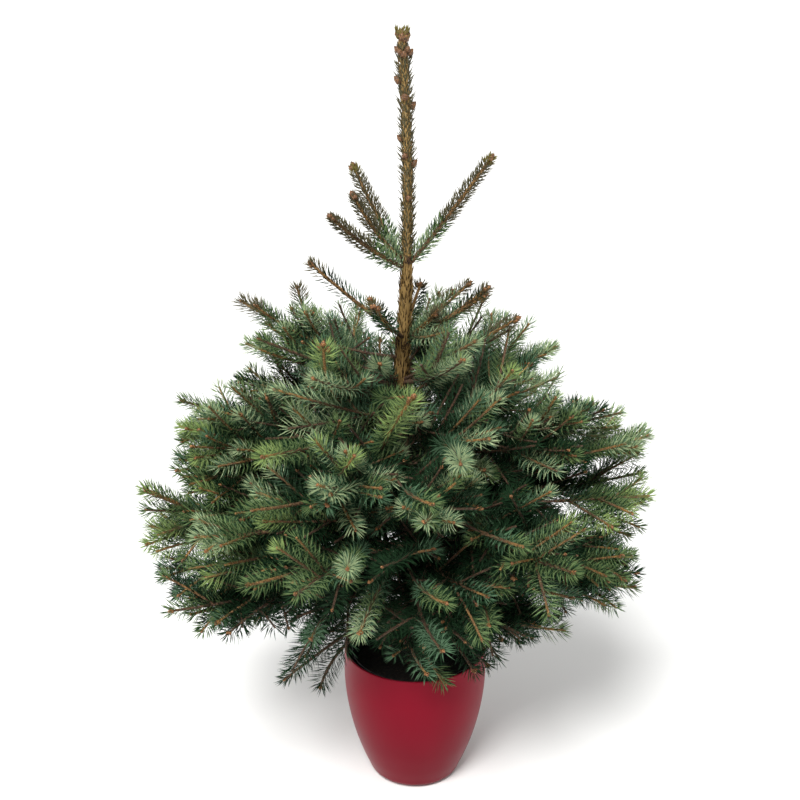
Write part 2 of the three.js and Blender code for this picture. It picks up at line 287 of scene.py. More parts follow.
def trunk_at(height):
    """The trunk's middle and radius at a height. Its upper part bows a little to one side, and it is slimmer
    where it shows between the whorls."""
    bow = TRUNK_BOW * math.sin(math.pi * max(0.0, (height - BOW_FOOT) / (BUD_FOOT - BOW_FOOT)))
    share = min((height - SLIM_FROM) / SLIM_RAMPS[0], (SLIM_TO - height) / SLIM_RAMPS[1], 1.0)
    slim = 1 - SLIM * max(share, 0.0)
    for (low, foot), (high, top) in zip(TRUNK, TRUNK[1:]):
        if height <= high.z:
            share = max(0.0, (height - low.z) / (high.z - low.z))
            return low.lerp(high, share) + bow, (foot + (top - foot) * share) * slim
    return TRUNK[-1]


class Limb:
    """A limb that bears shoots: its line is a parabola from its start past a bend to its tip."""

    def __init__(self, start, bend, tip):
        self.start, self.bend, self.tip = start, bend, tip
        self.out = Vector((*(tip.xy - start.xy), 0)).normalized()
        self.side = UP.cross(self.out)
        steps = [self.at(i / LIMB_STEPS) for i in range(LIMB_STEPS + 1)]
        self.length = sum((b - a).length for a, b in zip(steps, steps[1:]))

    def at(self, share):
        return self.start * (1 - share) ** 2 + self.bend * (2 * share * (1 - share)) + self.tip * share**2

    def along(self, share):
        return ((self.bend - self.start) * (1 - share) + (self.tip - self.bend) * share).normalized()


class Plume(Limb):
    """A bough of the frame, with the skin of its foliage."""

    def __init__(self, label):
        self.label = label
        self.whorl = int(label[0])
        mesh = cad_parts[f"foliage_{label}"].data
        corners = [v.co.copy() for v in mesh.vertices]
        self.skin = BVHTree.FromPolygons(corners, [tuple(p.vertices) for p in mesh.polygons])
        centre = sum(corners, Vector()) / len(corners)
        trunk = trunk_at(centre.z)[0]
        tip = max(corners, key=lambda c: (c.xy - trunk.xy).length)
        out = Vector((*(tip.xy - trunk.xy), 0)).normalized()
        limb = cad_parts.get(f"bough_{label}")
        ends = [v.co for v in limb.data.vertices] if limb else corners
        ends = sorted(ends, key=lambda c: (c - trunk).dot(out))[:5]
        start = trunk_at(sum(c.z for c in ends) / len(ends))[0]
        short = TIP_BUDS if self.whorl <= 2 else TIP_NEEDLES
        end = tip - (tip - start).normalized() * short + Vector(TIP_SHIFTS.get(label, (0, 0, 0)))
        super().__init__(start, self.bend_through(start, tip, 0.55), end)

    def bend_through(self, start, tip, share):
        """The control point that leads the bough through the middle of its plume at a share of its length."""
        spot = start.lerp(tip, share)
        above = self.skin.ray_cast(spot + UP * 0.2, -UP)[0]
        below = self.skin.ray_cast(spot - UP * 0.2, UP)[0]
        if above is None or below is None:
            return start.lerp(tip, 0.5)
        through = (above + below) / 2
        return (through - start * (1 - share) ** 2 - tip * share**2) / (2 * share * (1 - share))

    def room(self, spot, heading):
        """How far it is from a spot inside the plume to its skin, or 0 outside it."""
        hit, normal, _, far = self.skin.ray_cast(spot, heading)
        return far if hit is not None and normal.dot(heading) > 0 else 0.0

    def foliage_start(self):
        """The share of the bough at which its plume begins."""
        shares = (i / LIMB_STEPS for i in range(LIMB_STEPS))
        return next((share for share in shares if self.room(self.at(share), self.along(share)) > 0), 0.0)


class Branchlet(Limb):
    """A short limb from the trunk between two whorls. Its shoots fill an egg-shaped space round it."""

    def __init__(self, height, bearing, reach, rise, begins, sweep):
        self.begins = begins
        out = Vector((math.cos(bearing), math.sin(bearing), 0))
        start = trunk_at(height)[0]
        tip = start + (out * math.cos(rise) + UP * math.sin(rise)) * reach
        bend = start + Matrix.Rotation(sweep, 3, "Z") @ (tip - start) * 0.52 - UP * (0.05 * reach)
        super().__init__(start, bend, tip)
        self.centre = start.lerp(tip, 0.52)
        forward = (tip - start).normalized()
        self.axes = ((forward, reach * 0.56), (self.side, reach * 0.26), (forward.cross(self.side), 0.05))

    def room(self, spot, heading):
        """How far it is from a spot inside the egg to its surface, or 0 outside it."""
        place = Vector((spot - self.centre).dot(axis) / size for axis, size in self.axes)
        way = Vector(heading.dot(axis) / size for axis, size in self.axes)
        a, b, c = way.dot(way), place.dot(way), place.dot(place) - 1
        return 0.0 if c > 0 else (math.sqrt(b * b - a * c) - b) / a

    def foliage_start(self):
        return self.begins


BOUGH_NODES = [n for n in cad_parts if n.startswith("bough_")]
PLUME_NODES = [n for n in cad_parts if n.startswith("foliage_")]
PLUMES = [Plume(n.split("_", 1)[1]) for n in sorted(PLUME_NODES)]


# ---- The branching rule ----------------------------------------------------------------------------------


@dataclass
class Shoot:
    """A twig's line and all that is grown on it. Sizes are in metres and angles in radians."""

    points: list
    above: Vector  # the side of the shoot that its needles part on
    radii: tuple  # at its foot and at its tip
    needle: float  # length of its needles
    zones: list  # the share of the line at which each colour ends, and that colour
    splay: float = math.radians(57)  # between needle and stem
    unruly: float = 0.13  # how far that angle varies
    comb: float = 1.0  # 1 where needles part to both sides, 0 where they stand all round
    gap: float = 1.0  # along the twig from one needle to the next, in millimetres
    buds: int = 1
    thick: float = 1.0  # of its needles, as a share of the usual width
    taper: float = 0.0  # by how much its needles get shorter towards its tip

    def fields(self):
        """For each point of the line: what the geometry trees read there."""
        ends = [self.points[0], *self.points, self.points[-1]]
        headings = [(b - a).normalized() for a, b in zip(ends, ends[2:])]
        gone = [0.0]
        for a, b in zip(self.points, self.points[1:]):
            gone.append(gone[-1] + (b - a).length)
        whole = gone[-1]
        foot, tip = self.radii
        even = {"thick": self.thick, "splay": self.splay, "unruly": self.unruly, "comb": self.comb}
        return {
            "heading": headings,
            "above": [(self.above - h * self.above.dot(h)).normalized() for h in headings],
            "gone": gone,
            "left": [whole - g for g in gone],
            "radius": [foot + (tip - foot) * g / whole for g in gone],
            "needle": [self.needle * (1 - self.taper * g / whole) for g in gone],
            **{name: [value] * len(gone) for name, value in even.items()},
        }

    def heading(self):
        return (self.points[-1] - self.points[-2]).normalized()

    def stretches(self, gone):
        """The stretches with needles of one colour, as colour, first point, last point and gap. Some needles
        in each are of its darker colour. The last stretch is the crown of needles round the buds."""
        found, first = [], 0
        for end, colour in self.zones:
            last = next((i for i, g in enumerate(gone) if g >= end * gone[-1]), len(gone) - 1)
            if last > first:
                under = DARKER.get(colour) if self.gap < 1 else None
                if under:
                    found.append((under, first, last, self.gap / UNDER_SHARE))
                found.append((colour, first, last, self.gap / (1 - UNDER_SHARE if under else 1)))
                first = last
        if self.buds:
            found.append((self.zones[-1][1], len(gone) - 2, len(gone) - 1, 1.0))
        return found


@dataclass
class Habit:
    """How the boughs of one whorl branch: metres and degrees."""

    spacing: float  # between side shoots, on both sides together
    splay: float  # of side shoots from the bough
    crest: float  # chance of a standing or hanging shoot beside each side shoot
    needle: float
    single: float  # length of the bough's end that bears no side shoots


HABITS = {
    2: Habit(0.056, 40, 0.05, 0.019, 0.1),
    3: Habit(0.022, 46, 0.8, 0.0225, 0.075),
    4: Habit(0.022, 48, 1.1, 0.024, 0.07),
    5: Habit(0.022, 48, 1.1, 0.025, 0.065),
    6: Habit(0.022, 48, 1.1, 0.025, 0.065),
    7: Habit(0.024, 46, 0.8, 0.024, 0.055),
}
INNER_HABIT = Habit(0.026, 45, 0.8, 0.024, 0.05)
OUTER_HABIT = Habit(0.0225, 46, 1.15, 0.0245, 0.065)
RADII = {  # of a limb or shoot at its foot and at its tip
    name: (foot * MM, tip * MM)
    for name, foot, tip in (
        ("bough", 4.2, 1.7),
        ("slender bough", 3.2, 1.4),
        ("slender end", 3.3, 2.0),
        ("inner limb", 2.6, 1.4),
        ("outer limb", 2.9, 1.4),
        ("top limb", 2.6, 1.2),
        ("top shoot", 3.4, 2.4),
        ("spray limb", 2.4, 1.3),
        ("spray", 2.7, 2.0),
        ("spray side", 2.1, 1.7),
        ("side", 2.2, 1.7),
        ("crest", 2.0, 1.6),
        ("second", 1.8, 1.5),
    )
}
POINT_STEP = 0.012  # between the points of a line
TOP_NEEDLE, HIGH_NEEDLE, SPRAY_NEEDLE, SIDE_NEEDLE, CLUSTER_NEEDLE = 0.0225, 0.0165, 0.0245, 0.0225, 0.0285
BARE_GAP, INNER_GAP, OUTER_GAP = 1.9, 1.2, 0.62  # between needles in millimetres, from the trunk outwards
SPRAY_GAP, SIDE_GAP = 0.5, 0.46

# Colours. Needles are dealt pale colours high in the crown as painted light, and deep ones low down and inside
# it as painted shade
LOW_COLOURS = {"shade": 2, "deep": 9, "blue": 3, "green": 3, "sage": 0}
HIGH_COLOURS = {"shade": 0, "deep": 0.2, "blue": 3, "green": 4, "sage": 8.5}
DARKER = {"deep": "shade", "blue": "deep", "green": "deep", "sage": "blue", "fresh": "green"}
UNDER_SHARE = 0.4  # of a spray's needles that are of its darker colour
TIP_COLOURS = {  # of the end of a spray, with their shares
    "deep": (("deep", "blue", "green"), (3, 1, 1)),
    "blue": (("blue", "sage"), (1, 1)),
    "green": (("green", "sage", "fresh"), (3, 3, 1)),
    "sage": (("sage", "fresh"), (5, 1)),
}
TOP_TIPS = {"1_1": "olive", "1_2": "dull", "1_3": "dull", "1_4": "olive"}
SEEN_BELOW, SEEN_ABOVE, SEEN_OUTSIDE = 0.27, 0.64, 0.26  # heights and distance past which inner shoots show
SHADED = 0.17  # distance from the trunk within which inner shoots lie in deep shade
RIM = 0.31  # distance from the trunk past which even dark sprays are seen against the light
# Painted light and shade: sprays low under the skirt are deep, and those high above it are pale.
SKIRT_SLOPE = 0.35  # how steeply the crown's skirt falls outwards
SKIRT_FOOT, SKIRT_TOP = 0.31, 0.45  # above the skirt: where all sprays are deep, and where pale tips begin
PALE_FROM, PALE_TO = 0.41, 0.63  # above the skirt: where low colours end, and where high ones are reached

# Lengths
NEEDLE_REACH = 7 * MM  # by which needles reach past the end of their shoot
OVERGROWTH = 45 * MM  # by which standing and hanging shoots may leave their plume
LONGEST_SHOOT, LONGEST_CREST = 0.135, 0.11
SHORTEST_SHOOT, SHORTEST_CREST, SHORTEST_SECOND = 0.03, 0.045, 0.038
BEARING_SHOOT = 0.075  # the length from which a side shoot bears side shoots of its own
MOST_REACH = 0.34  # of a branchlet
OUTER_PART, INNER_PART, BARE_PART = 0.6, 0.55, 0.35  # shares of a bough at which its shoots change

# Free space
LOWEST_SHOOT = 0.165
UNDERSIDE = 0.66  # how steeply the crown's underside rises outwards from the pot's rim
LOPSIDED = 0.3  # by how much more it does so on the right, and less on the left
POT_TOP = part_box("planter")[1].z
POT_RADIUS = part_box("planter")[1].x
POT_ROOM = 0.014, 0.02  # above the pot's rim and round it
LOWEST_BRANCHLET, HIGHEST_BRANCHLET = 0.298, 0.66
POT_MOUTH = (  # lines of sight to the pot's mouth: where from, bearing and lift in degrees, half-width
    (Vector((0, -0.1, 0.135)), 269, 35, 0.1),
    (Vector((-0.07, -0.1, 0.16)), 267, 34, 0.085),
)
OPENINGS = (  # where the crown's edge is open: across, height and half-width
    (-0.285, 0.69, 0.03),
    (-0.32, 0.643, 0.027),
    (0.258, 0.668, 0.024),
    (0.285, 0.225, 0.043),
    (0.2, 0.175, 0.04),
    (0.228, 0.225, 0.026),
    (-0.36, 0.225, 0.034),
    (-0.285, 0.17, 0.04),
)
FRONT = Vector((0, -0.87, 0.49))
CAMERA_PLACE = Vector((-0.0231, -2.0, 1.4692))
END_ON = math.radians(42)  # from FRONT, within which a spray shows end on
END_ON_SHARE = 0.16  # of the sprays that would show so and stay so
GOLDEN_ANGLE = math.pi * (3 - math.sqrt(5))

# The leader and the trunk
LOWEST_BARE = 0.6
LEADER_BUDS = (  # height, bearing in degrees and length: along the leader, then round its tip
    (0.921, 275, 0.013),
    (0.967, 350, 0.0145),
    (0.979, 250, 0.0135),
    (1.000, 175, 0.0145),
    (1.029, 60, 0.013),
    (1.044, 10, 0.0155),
    (1.058, 265, 0.0145),
    (1.078, 190, 0.0165),
    (1.106, 120, 0.013),
    (1.115, 350, 0.0145),
    (1.119, 195, 0.0135),
    (1.114, 275, 0.014),
    (1.12, 315, 0.013),
    (1.117, 235, 0.012),
    (1.135, 10, 0.0155),
    (1.136, 165, 0.0155),
    (1.134, 265, 0.0155),
    (1.136, 90, 0.015),
    (1.132, 315, 0.0145),
)
TOP_BUDS = BUD_FOOT - 15 * MM  # height from which the leader's buds crowd round its tip
SLEEVES = (  # needles round the trunk: foot, top, length, splay in degrees, unruly, colour, gap, seat
    (LEADER_FOOT, BUD_FOOT - 14 * MM, 0.0165, 37, 0.34, "dull", 0.46, 1.2),
    (LEADER_FOOT, BUD_FOOT, 0.014, 12, 0.16, "golden", 0.55, 1.2),
    (LOWEST_BARE, LEADER_FOOT, 0.02, 11, 0.17, "golden", 0.22, 1.15),
    (LOWEST_BARE, LEADER_FOOT - 0.01, 0.017, 18, 0.3, "brown", 0.42, 1.15),
)
NODES = ((0.8335, 16), (0.711, 6), (0.644, 7))  # heights at which whorls leave the trunk, and rows of scales

# Sprays whose places are set. Tip: bearing, distance from the trunk and height. Aim: bearing and lift. Then
# length, colours from the foot, comb and number of buds. Bearings and lifts are in degrees.
CLUSTER = 5  # the number of buds of a spray that ends in a knot of them, among long needles
SPECIMENS = (  # sprays that stand out of the crown
    (273, 0.19, 0.707, 319, 55, 0.165, "green green fresh fresh", 0.6, CLUSTER),
    (229, 0.165, 0.753, 276, 74, 0.14, "green green green fresh", 0.6, CLUSTER),
    (284, 0.3, 0.662, 268, 15, 0.16, "blue sage", 0.1, 1),
    (257, 0.325, 0.527, 270, 20, 0.16, "blue green sage", 0.1, 1),
    (234, 0.305, 0.651, 244, 18, 0.15, "green green fresh", 0.1, 3),
    (250, 0.31, 0.633, 234, 32, 0.12, "deep blue sage", 0.4, 1),
    (277, 0.305, 0.612, 315, 8, 0.1, "blue green", 0.6, 2),
    (256, 0.28, 0.404, 259, -4, 0.14, "blue green sage", 0.1, 3),
    (300, 0.305, 0.531, 311, 10, 0.11, "deep blue green", 0.5, 1),
    (228, 0.32, 0.458, 216, 6, 0.13, "deep green green", 0.7, 2),
    (231, 0.31, 0.572, 209, 9, 0.12, "deep green green", 0.7, 1),
    (288, 0.137, 0.233, 322, -40, 0.1, "deep deep green", 0.85, 1),
    (318, 0.3, 0.417, 322, 8, 0.12, "deep blue", 0.7, 1),
    (275, 0.3, 0.584, 251, 20, 0.095, "blue green sage", 0.5, 2),
    (280, 0.285, 0.456, 307, 12, 0.105, "blue green green", 0.5, 1),
    (218, 0.178, 0.214, 214, -70, 0.095, "deep deep", 0.7, 1),
)
OUTERMOST = (  # sprays that reach furthest out, which bear side sprays
    (184, 0.318, 0.594, 182, 18, 0.14, "green green fresh", 0.7, 2),
    (170, 0.318, 0.556, 160, 10, 0.13, "deep green green", 0.7, 1),
    (190, 0.318, 0.53, 196, 6, 0.14, "deep green green", 0.7, 2),
    (178, 0.315, 0.49, 166, 4, 0.13, "deep blue green", 0.7, 1),
    (187, 0.376, 0.446, 180, 20, 0.14, "deep green fresh", 0.7, 2),
    (172, 0.378, 0.4, 176, 12, 0.14, "deep deep green", 0.6, 1),
    (184, 0.372, 0.365, 192, 6, 0.14, "deep blue blue", 0.7, 1),
    (178, 0.355, 0.316, 172, 0, 0.14, "deep deep deep", 0.7, 1),
    (206, 0.345, 0.362, 212, 2, 0.14, "deep deep green", 0.7, 1),
    (214, 0.34, 0.505, 204, 10, 0.14, "deep green sage", 0.7, 2),
    (355, 0.35, 0.584, 2, 20, 0.15, "green green sage", 0.7, 2),
    (6, 0.35, 0.55, 12, 14, 0.14, "green green sage", 0.6, 2),
    (349, 0.352, 0.506, 346, 10, 0.15, "blue green fresh", 0.7, 2),
    (2, 0.35, 0.456, 8, 14, 0.14, "deep blue green", 0.6, 1),
    (346, 0.33, 0.415, 350, 10, 0.13, "deep green green", 0.7, 1),
    (4, 0.31, 0.375, 0, 0, 0.14, "deep green blue", 0.7, 1),
    (350, 0.332, 0.352, 356, -2, 0.15, "deep deep green", 0.7, 2),
)
SHOULDERS = (  # the same at the top of the crown, with fewer side sprays
    (180, 0.228, 0.775, 166, 30, 0.13, "deep green dull", 0.5, 2),
    (186, 0.192, 0.75, 178, 44, 0.11, "blue green sage", 0.6, 2),
    (176, 0.222, 0.706, 170, 20, 0.12, "deep green sage", 0.6, 1),
)
HIGH_TIPS = (  # slender sprays of the second whorl, with short thick needles
    (20, 0.07, 0.78, 20, 46, 0.09, "blue sage dull", 0.4, 2),
    (12, 0.09, 0.795, 10, 42, 0.11, "blue sage dull", 0.4, 2),
    (350, 0.11, 0.79, 352, 36, 0.12, "blue sage dull", 0.4, 2),
    (356, 0.155, 0.752, 0, 32, 0.14, "blue green dull", 0.4, 2),
)
STUB = (212, 0.0566, 0.786, 205, 72, 0.055, "green green olive", 0.3, 2)  # a single short one


def lean(height):
    """From 0 low in the crown, where shoots hang, to 1 at its top, where they rise."""
    return min(max((height - 0.4) / 0.28, 0.0), 1.0)


def skirt(tip):
    """How high a tip lies above the crown's skirt, which falls outwards."""
    return tip.z - SKIRT_SLOPE * tip.xy.length


def colour_of(tip, rng):
    """A spray's colour, as painted light and shade: mostly pale high up and near the trunk, mostly deep low
    down and far out.
    """
    share = min(max((skirt(tip) - PALE_FROM) / (PALE_TO - PALE_FROM), 0.0), 1.0)
    weights = [LOW_COLOURS[name] * (1 - share) + HIGH_COLOURS[name] * share for name in LOW_COLOURS]
    return rng.choices(list(LOW_COLOURS), weights)[0]


def any_way(rng):
    """A vector whose three parts are each drawn between -1 and 1."""
    return Vector((rng.uniform(-1, 1), rng.uniform(-1, 1), rng.uniform(-1, 1)))


def bent_line(start, heading, length, rng):
    """A twig's points: it leaves along its heading, wanders a little and turns up or down."""
    steps = max(3, round(length / POINT_STEP))
    turn_up = -0.16 + 0.42 * lean(start.z)
    wander = any_way(rng) * 0.09
    points = [start.copy()]
    here = heading.copy()
    for _ in range(steps):
        here = (here + (UP * turn_up + wander) / steps).normalized()
        points.append(points[-1] + here * (length / steps))
    return points


def leaving(along, side, splay, lift):
    """A heading that leaves a line to its side by splay and out of their plane by lift, in degrees."""
    up = along.cross(side).normalized()
    flat = along * math.cos(math.radians(splay)) + side * math.sin(math.radians(splay))
    if up.z < 0:
        up = -up
    return (flat * math.cos(math.radians(lift)) + up * math.sin(math.radians(lift))).normalized()


def turned_to(bearing, lift):
    """The way that faces a bearing and looks up by lift, in degrees."""
    turn, rise = math.radians(bearing), math.radians(lift)
    return Vector((math.cos(turn) * math.cos(rise), math.sin(turn) * math.cos(rise), math.sin(rise)))


def aside(way, rng):
    """A heading, turned to one side if it would show the spray end on from the front, as most do lie."""
    apart = way.angle(FRONT)
    if apart > END_ON or rng.random() < END_ON_SHARE:
        return way
    hand = 1 if FRONT.cross(way).z > 0 else -1
    turn = hand * (END_ON - apart + math.radians(rng.uniform(4, 24)))
    return Matrix.Rotation(turn, 3, "Z") @ way


def tilted_up(heading, rng, roll=22):
    """The upper side of a shoot, rolled by up to some degrees about its heading."""
    level = UP if abs(heading.z) < 0.85 else Vector((heading.x + 0.01, heading.y, 0)).normalized() * -1
    return Matrix.Rotation(math.radians(rng.uniform(-roll, roll)), 3, heading) @ level


class Crown:
    """Every shoot of the tree, grown from one seed."""

    def __init__(self, seed):
        self.seed = seed
        self.shoots = []  # with twigs, needles and buds
        self.sleeves = []  # with needles only
        self.limbs = []  # lines with their radii, which bear shoots
        self.buds = []  # the leader's own, as foot, heading and length
        self.clear = []  # lines of sight, as start, way, length and half-width
        self.grow_placed_sprays()
        self.clear_sights()
        for plume in PLUMES:
            self.rng = random.Random(f"{seed} {plume.label}")
            if plume.whorl == 1:
                self.grow_single(plume)
                continue
            if plume.whorl == 2 and plume.out.x > 0.5:
                spots = [plume.at(0.12 * step) for step in range(1, 9)]
                self.clear += [(spot, FRONT.normalized(), 0.25, 0.013) for spot in spots]
            radii = RADII["slender bough" if plume.whorl == 2 else "bough"]
            self.grow_bough(plume, HABITS[plume.whorl], radii)
        self.grow_between("inner", INNER_HABIT, 0.0125, (0.5, 0.8), 0.16)
        self.grow_between("outer", OUTER_HABIT, 0.0095, (0.86, 1.05), 0.42)
        self.grow_leader()

    def grow_placed_sprays(self):
        self.rng = random.Random(f"{self.seed} specimens")
        for sprays, sides in ((SPECIMENS, 0), (OUTERMOST, 4), (SHOULDERS, 2), (HIGH_TIPS, 1), ((STUB,), 0)):
            for spray in sprays:
                self.grow_spray(*spray, sides)
                if spray is STUB or sprays is HIGH_TIPS:
                    for shoot in self.shoots[-1 - sides :]:
                        shoot.needle, shoot.gap, shoot.thick = HIGH_NEEDLE, SPRAY_GAP, 1.1

    def clear_sights(self):
        """Keeps clear what stands free: the bare trunk, openings at the crown's edge and the pot's mouth."""
        for step in range(9):
            self.clear.append((trunk_at(0.655 + 0.02 * step)[0], turned_to(268, 20), 0.24, 0.017))
        for across, height, width in OPENINGS:
            spot = Vector((across, 0, height))
            way = (CAMERA_PLACE - spot).normalized()
            self.clear.append((spot - way * 0.35, way, 0.7, width))
        for spot, bearing, lift, width in POT_MOUTH:
            self.clear.append((spot, turned_to(bearing, lift), 0.6, width))

    def is_clear(self, points):
        """Whether a twig keeps out of the pot's mouth, and off the lines of sight to what stands free."""
        for point in points[1:]:
            out = point.xy.length
            rises = UNDERSIDE + LOPSIDED * point.x / out
            if point.z < LOWEST_SHOOT + rises * max(0.0, out - 0.8 * POT_RADIUS):
                return False
            if point.z < POT_TOP + POT_ROOM[0] and out < POT_RADIUS + POT_ROOM[1]:
                return False
            for spot, way, length, width in self.clear:
                gone = (point - spot).dot(way)
                if 0 < gone < length and (point - spot - way * gone).length < width:
                    return False
        return True

    def grow_leader(self):
        """The leader's needles and buds, dry needles pressed to the trunk below, and the tuft at its tip."""
        for low, high, needle, splay, unruly, colour, gap, seat in SLEEVES:
            count = max(3, round((high - low) / POINT_STEP))
            marks = [trunk_at(low + (high - low) * i / count) for i in range(count + 1)]
            points = [middle for middle, _ in marks]
            radii = (marks[0][1] * seat, marks[-1][1] * seat)
            self.add_sleeve(points, AHEAD, radii, needle, colour, splay, unruly, gap, 1.5)
        tip = trunk_at(BUD_FOOT)[0]
        points = [tip + UP * (3.4 * MM * k - 4 * MM) for k in range(5)]
        self.add_sleeve(points, FRONT, (5 * MM, 8 * MM), 0.0135, "olive", 46, 0.4, 0.26, 1.7)
        for height, bearing, size in LEADER_BUDS:
            middle, radius = trunk_at(height)
            out = Vector((math.cos(math.radians(bearing)), math.sin(math.radians(bearing)), 0))
            seat, spread = (0.9, 0.95) if height < TOP_BUDS else (0.5, 0.5)
            self.buds.append((middle + out * radius * seat, (UP + out * spread).normalized(), size))
        self.buds.append((tip - UP * 3 * MM, UP.copy(), 0.016))

    def add_sleeve(self, points, above, radii, needle, colour, splay, unruly, gap, thick):
        """Needles that stand all round a line, without a twig."""
        angle, zones = math.radians(splay), [(1, colour)]
        self.sleeves.append(Shoot(points, above, radii, needle, zones, angle, unruly, 0.0, gap, 0, thick))

    def add_limb(self, limb, radii, fewest=1):
        """A limb's bark, and its points."""
        count = max(fewest, round(limb.length / POINT_STEP))
        axis = [limb.at(i / count) for i in range(count + 1)]
        self.limbs.append((axis, radii))
        return axis

    def grow_single(self, plume):
        """A bough of the top whorl, which is one shoot in its first year."""
        axis = self.add_limb(plume, RADII["top limb"])
        zones = [(0.22, "sage"), (0.38, "green"), (0.9, "dull"), (1, TOP_TIPS[plume.label])]
        above = tilted_up(plume.along(1), self.rng, 5)
        shoot = Shoot(axis[1:], above, RADII["top shoot"], TOP_NEEDLE, zones, math.radians(54), 0.22)
        shoot.comb, shoot.gap, shoot.buds, shoot.thick, shoot.taper = 0.3, 0.36, 6, 1.45, 0.42
        self.shoots.append(shoot)

    def neighbours(self, bearing, height):
        """The reach and rise of the boughs that are nearest to a bearing and height on the trunk."""
        whole, reach, rise = 0.0, 0.0, 0.0
        for plume in PLUMES:
            facing = max(0.0, math.cos(bearing - math.atan2(plume.out.y, plume.out.x)))
            weight = facing**3 * math.exp(-(((height - plume.start.z) / 0.07) ** 2)) + 1e-9
            way = plume.tip - plume.start
            whole += weight
            reach += weight * plume.length
            rise += weight * math.atan2(way.z, way.xy.length)
        return reach / whole, rise / whole

    def grow_between(self, name, habit, step, shares, begins):
        """Branchlets that leave the trunk all round between the whorls, to fill the crown between its tiers.
        They reach for a share of what the boughs beside them do, and bear shoots from where begins says."""
        rng = random.Random(f"{self.seed} {name}")
        height, index = LOWEST_BRANCHLET, 0
        while height < HIGHEST_BRANCHLET:
            bearing = index * GOLDEN_ANGLE
            reach, rise = self.neighbours(bearing, height)
            reach = min(reach * rng.uniform(*shares) * (1 - 0.14 * lean(height)), MOST_REACH)
            rise += math.radians(rng.uniform(-4, 12))
            sweep = math.radians(rng.choice((-1, 1)) * rng.uniform(18, 46))
            self.rng = random.Random(f"{self.seed} {name} {index}")
            branchlet = Branchlet(height, bearing, reach, rise, begins, sweep)
            self.grow_bough(branchlet, habit, RADII[f"{name} limb"])
            height += step * rng.uniform(0.8, 1.2)
            index += 1

    def grow_spray(self, bearing, distance, height, aim, lift, length, colours, comb, buds, sides):
        """A spray whose place is set: where its tip is, which way it points and how it looks. Nothing that is
        grown later hides one that bears no side sprays."""
        tip = trunk_at(height)[0] + turned_to(bearing, 0) * distance
        heading = turned_to(aim, lift)
        foot = tip - heading * length
        start = trunk_at(foot.z - 0.15 * (foot - trunk_at(foot.z)[0]).length)[0]
        limb = Limb(start, foot, tip)
        axis = self.add_limb(limb, RADII["spray limb"])
        colours = colours.split()
        zones = [((i + 1) / len(colours), colour) for i, colour in enumerate(colours)]
        points = axis[len(axis) - 1 - round(length / POINT_STEP) :]
        shoot = Shoot(points, tilted_up(heading, self.rng, 8), RADII["spray"], SPRAY_NEEDLE, zones)
        shoot.gap, shoot.comb, shoot.buds = SPRAY_GAP, comb, buds
        if buds == CLUSTER:
            shoot.needle, shoot.splay, shoot.unruly = CLUSTER_NEEDLE, math.radians(64), 0.2
        self.shoots.append(shoot)
        for k in range(sides):
            back = 0.85 - 0.62 * k / sides
            side = UP.cross(heading).normalized() * (1 if k % 2 else -1)
            way = leaving(heading, side, self.rng.uniform(30, 44), self.rng.uniform(-14, 14))
            foot_at = 1 - back * length / limb.length
            points = bent_line(limb.at(foot_at), way, 0.025 + 0.5 * back * length, self.rng)
            twig = Shoot(points, tilted_up(way, self.rng), RADII["spray side"], SIDE_NEEDLE, zones[-2:])
            twig.gap, twig.comb, twig.buds = SIDE_GAP, 0.6, self.rng.choice((0, 1, 2))
            self.shoots.append(twig)
        if sides:
            return
        self.clear.append((tip - heading * 0.3 * length, heading, 0.1 + 0.3 * length, 0.028))
        for share in (0.35, 0.6, 0.85):
            self.clear.append((foot.lerp(tip, share), turned_to(bearing, 25), 0.16, 0.024))

    def add_shoot(self, points, radii, habit, outer, buds):
        """A shoot with its colours. outer is how far out on the bough it stands, from 0 to 1."""
        rng = self.rng
        tip = points[-1]
        heading = (tip - points[0]).normalized()
        colour = colour_of(tip, rng)
        # Painted shade: most inner shoots get shade or deep needles, and sprays under the skirt get deep ones;
        # sprays that show at the crown's edge or top are kept lighter.
        if outer < INNER_PART and rng.random() < 0.8:
            colour = "shade" if rng.random() < 0.65 else "deep"
        if tip.z < SEEN_BELOW or tip.xy.length > SEEN_OUTSIDE:
            outer = max(outer, OUTER_PART)
            colour = "deep" if colour == "shade" else colour
        if skirt(tip) < SKIRT_FOOT or colour == "shade" and tip.xy.length > SHADED:
            colour = "deep"
        elif tip.xy.length > RIM and colour == "deep":
            colour = "green"
        if tip.z > SEEN_ABOVE and colour in ("shade", "deep"):
            colour = rng.choice(("deep", "blue", "green"))
        zones = [(1, colour)]
        # Painted shade: a spray whose tip lies within the crown has a darker inner part, and low down its tip
        # is not pale.
        if colour in TIP_COLOURS and outer > INNER_PART:
            end = rng.choices(*TIP_COLOURS[colour])[0]
            end = "green" if end == "sage" and skirt(tip) < SKIRT_TOP else end
            inner = DARKER[colour] if tip.xy.length < SEEN_OUTSIDE else colour
            zones = [(rng.uniform(0.2, 0.4), inner), (rng.uniform(0.6, 0.75), colour), (1, end)]
        shoot = Shoot(points, tilted_up(heading, rng), radii, habit.needle * rng.uniform(0.9, 1.08), zones)
        shoot.buds = buds if outer > 0.5 and colour != "shade" else 0
        shoot.gap = BARE_GAP if outer < BARE_PART else INNER_GAP if outer < INNER_PART else OUTER_GAP
        shoot.splay = math.radians(rng.uniform(52, 64))
        shoot.unruly = 0.06
        shoot.comb = rng.uniform(0.45, 0.95)
        self.shoots.append(shoot)
        return shoot

    def grow_shoot(self, spot, way, reach, radii, habit, outer, buds):
        """Adds a shoot that starts on a limb, and gives its points, or None if it would be in the way."""
        points = bent_line(spot, way, reach, self.rng)
        if not self.is_clear(points):
            return None
        self.add_shoot(points, RADII[radii], habit, outer, self.rng.choice(buds))
        return points

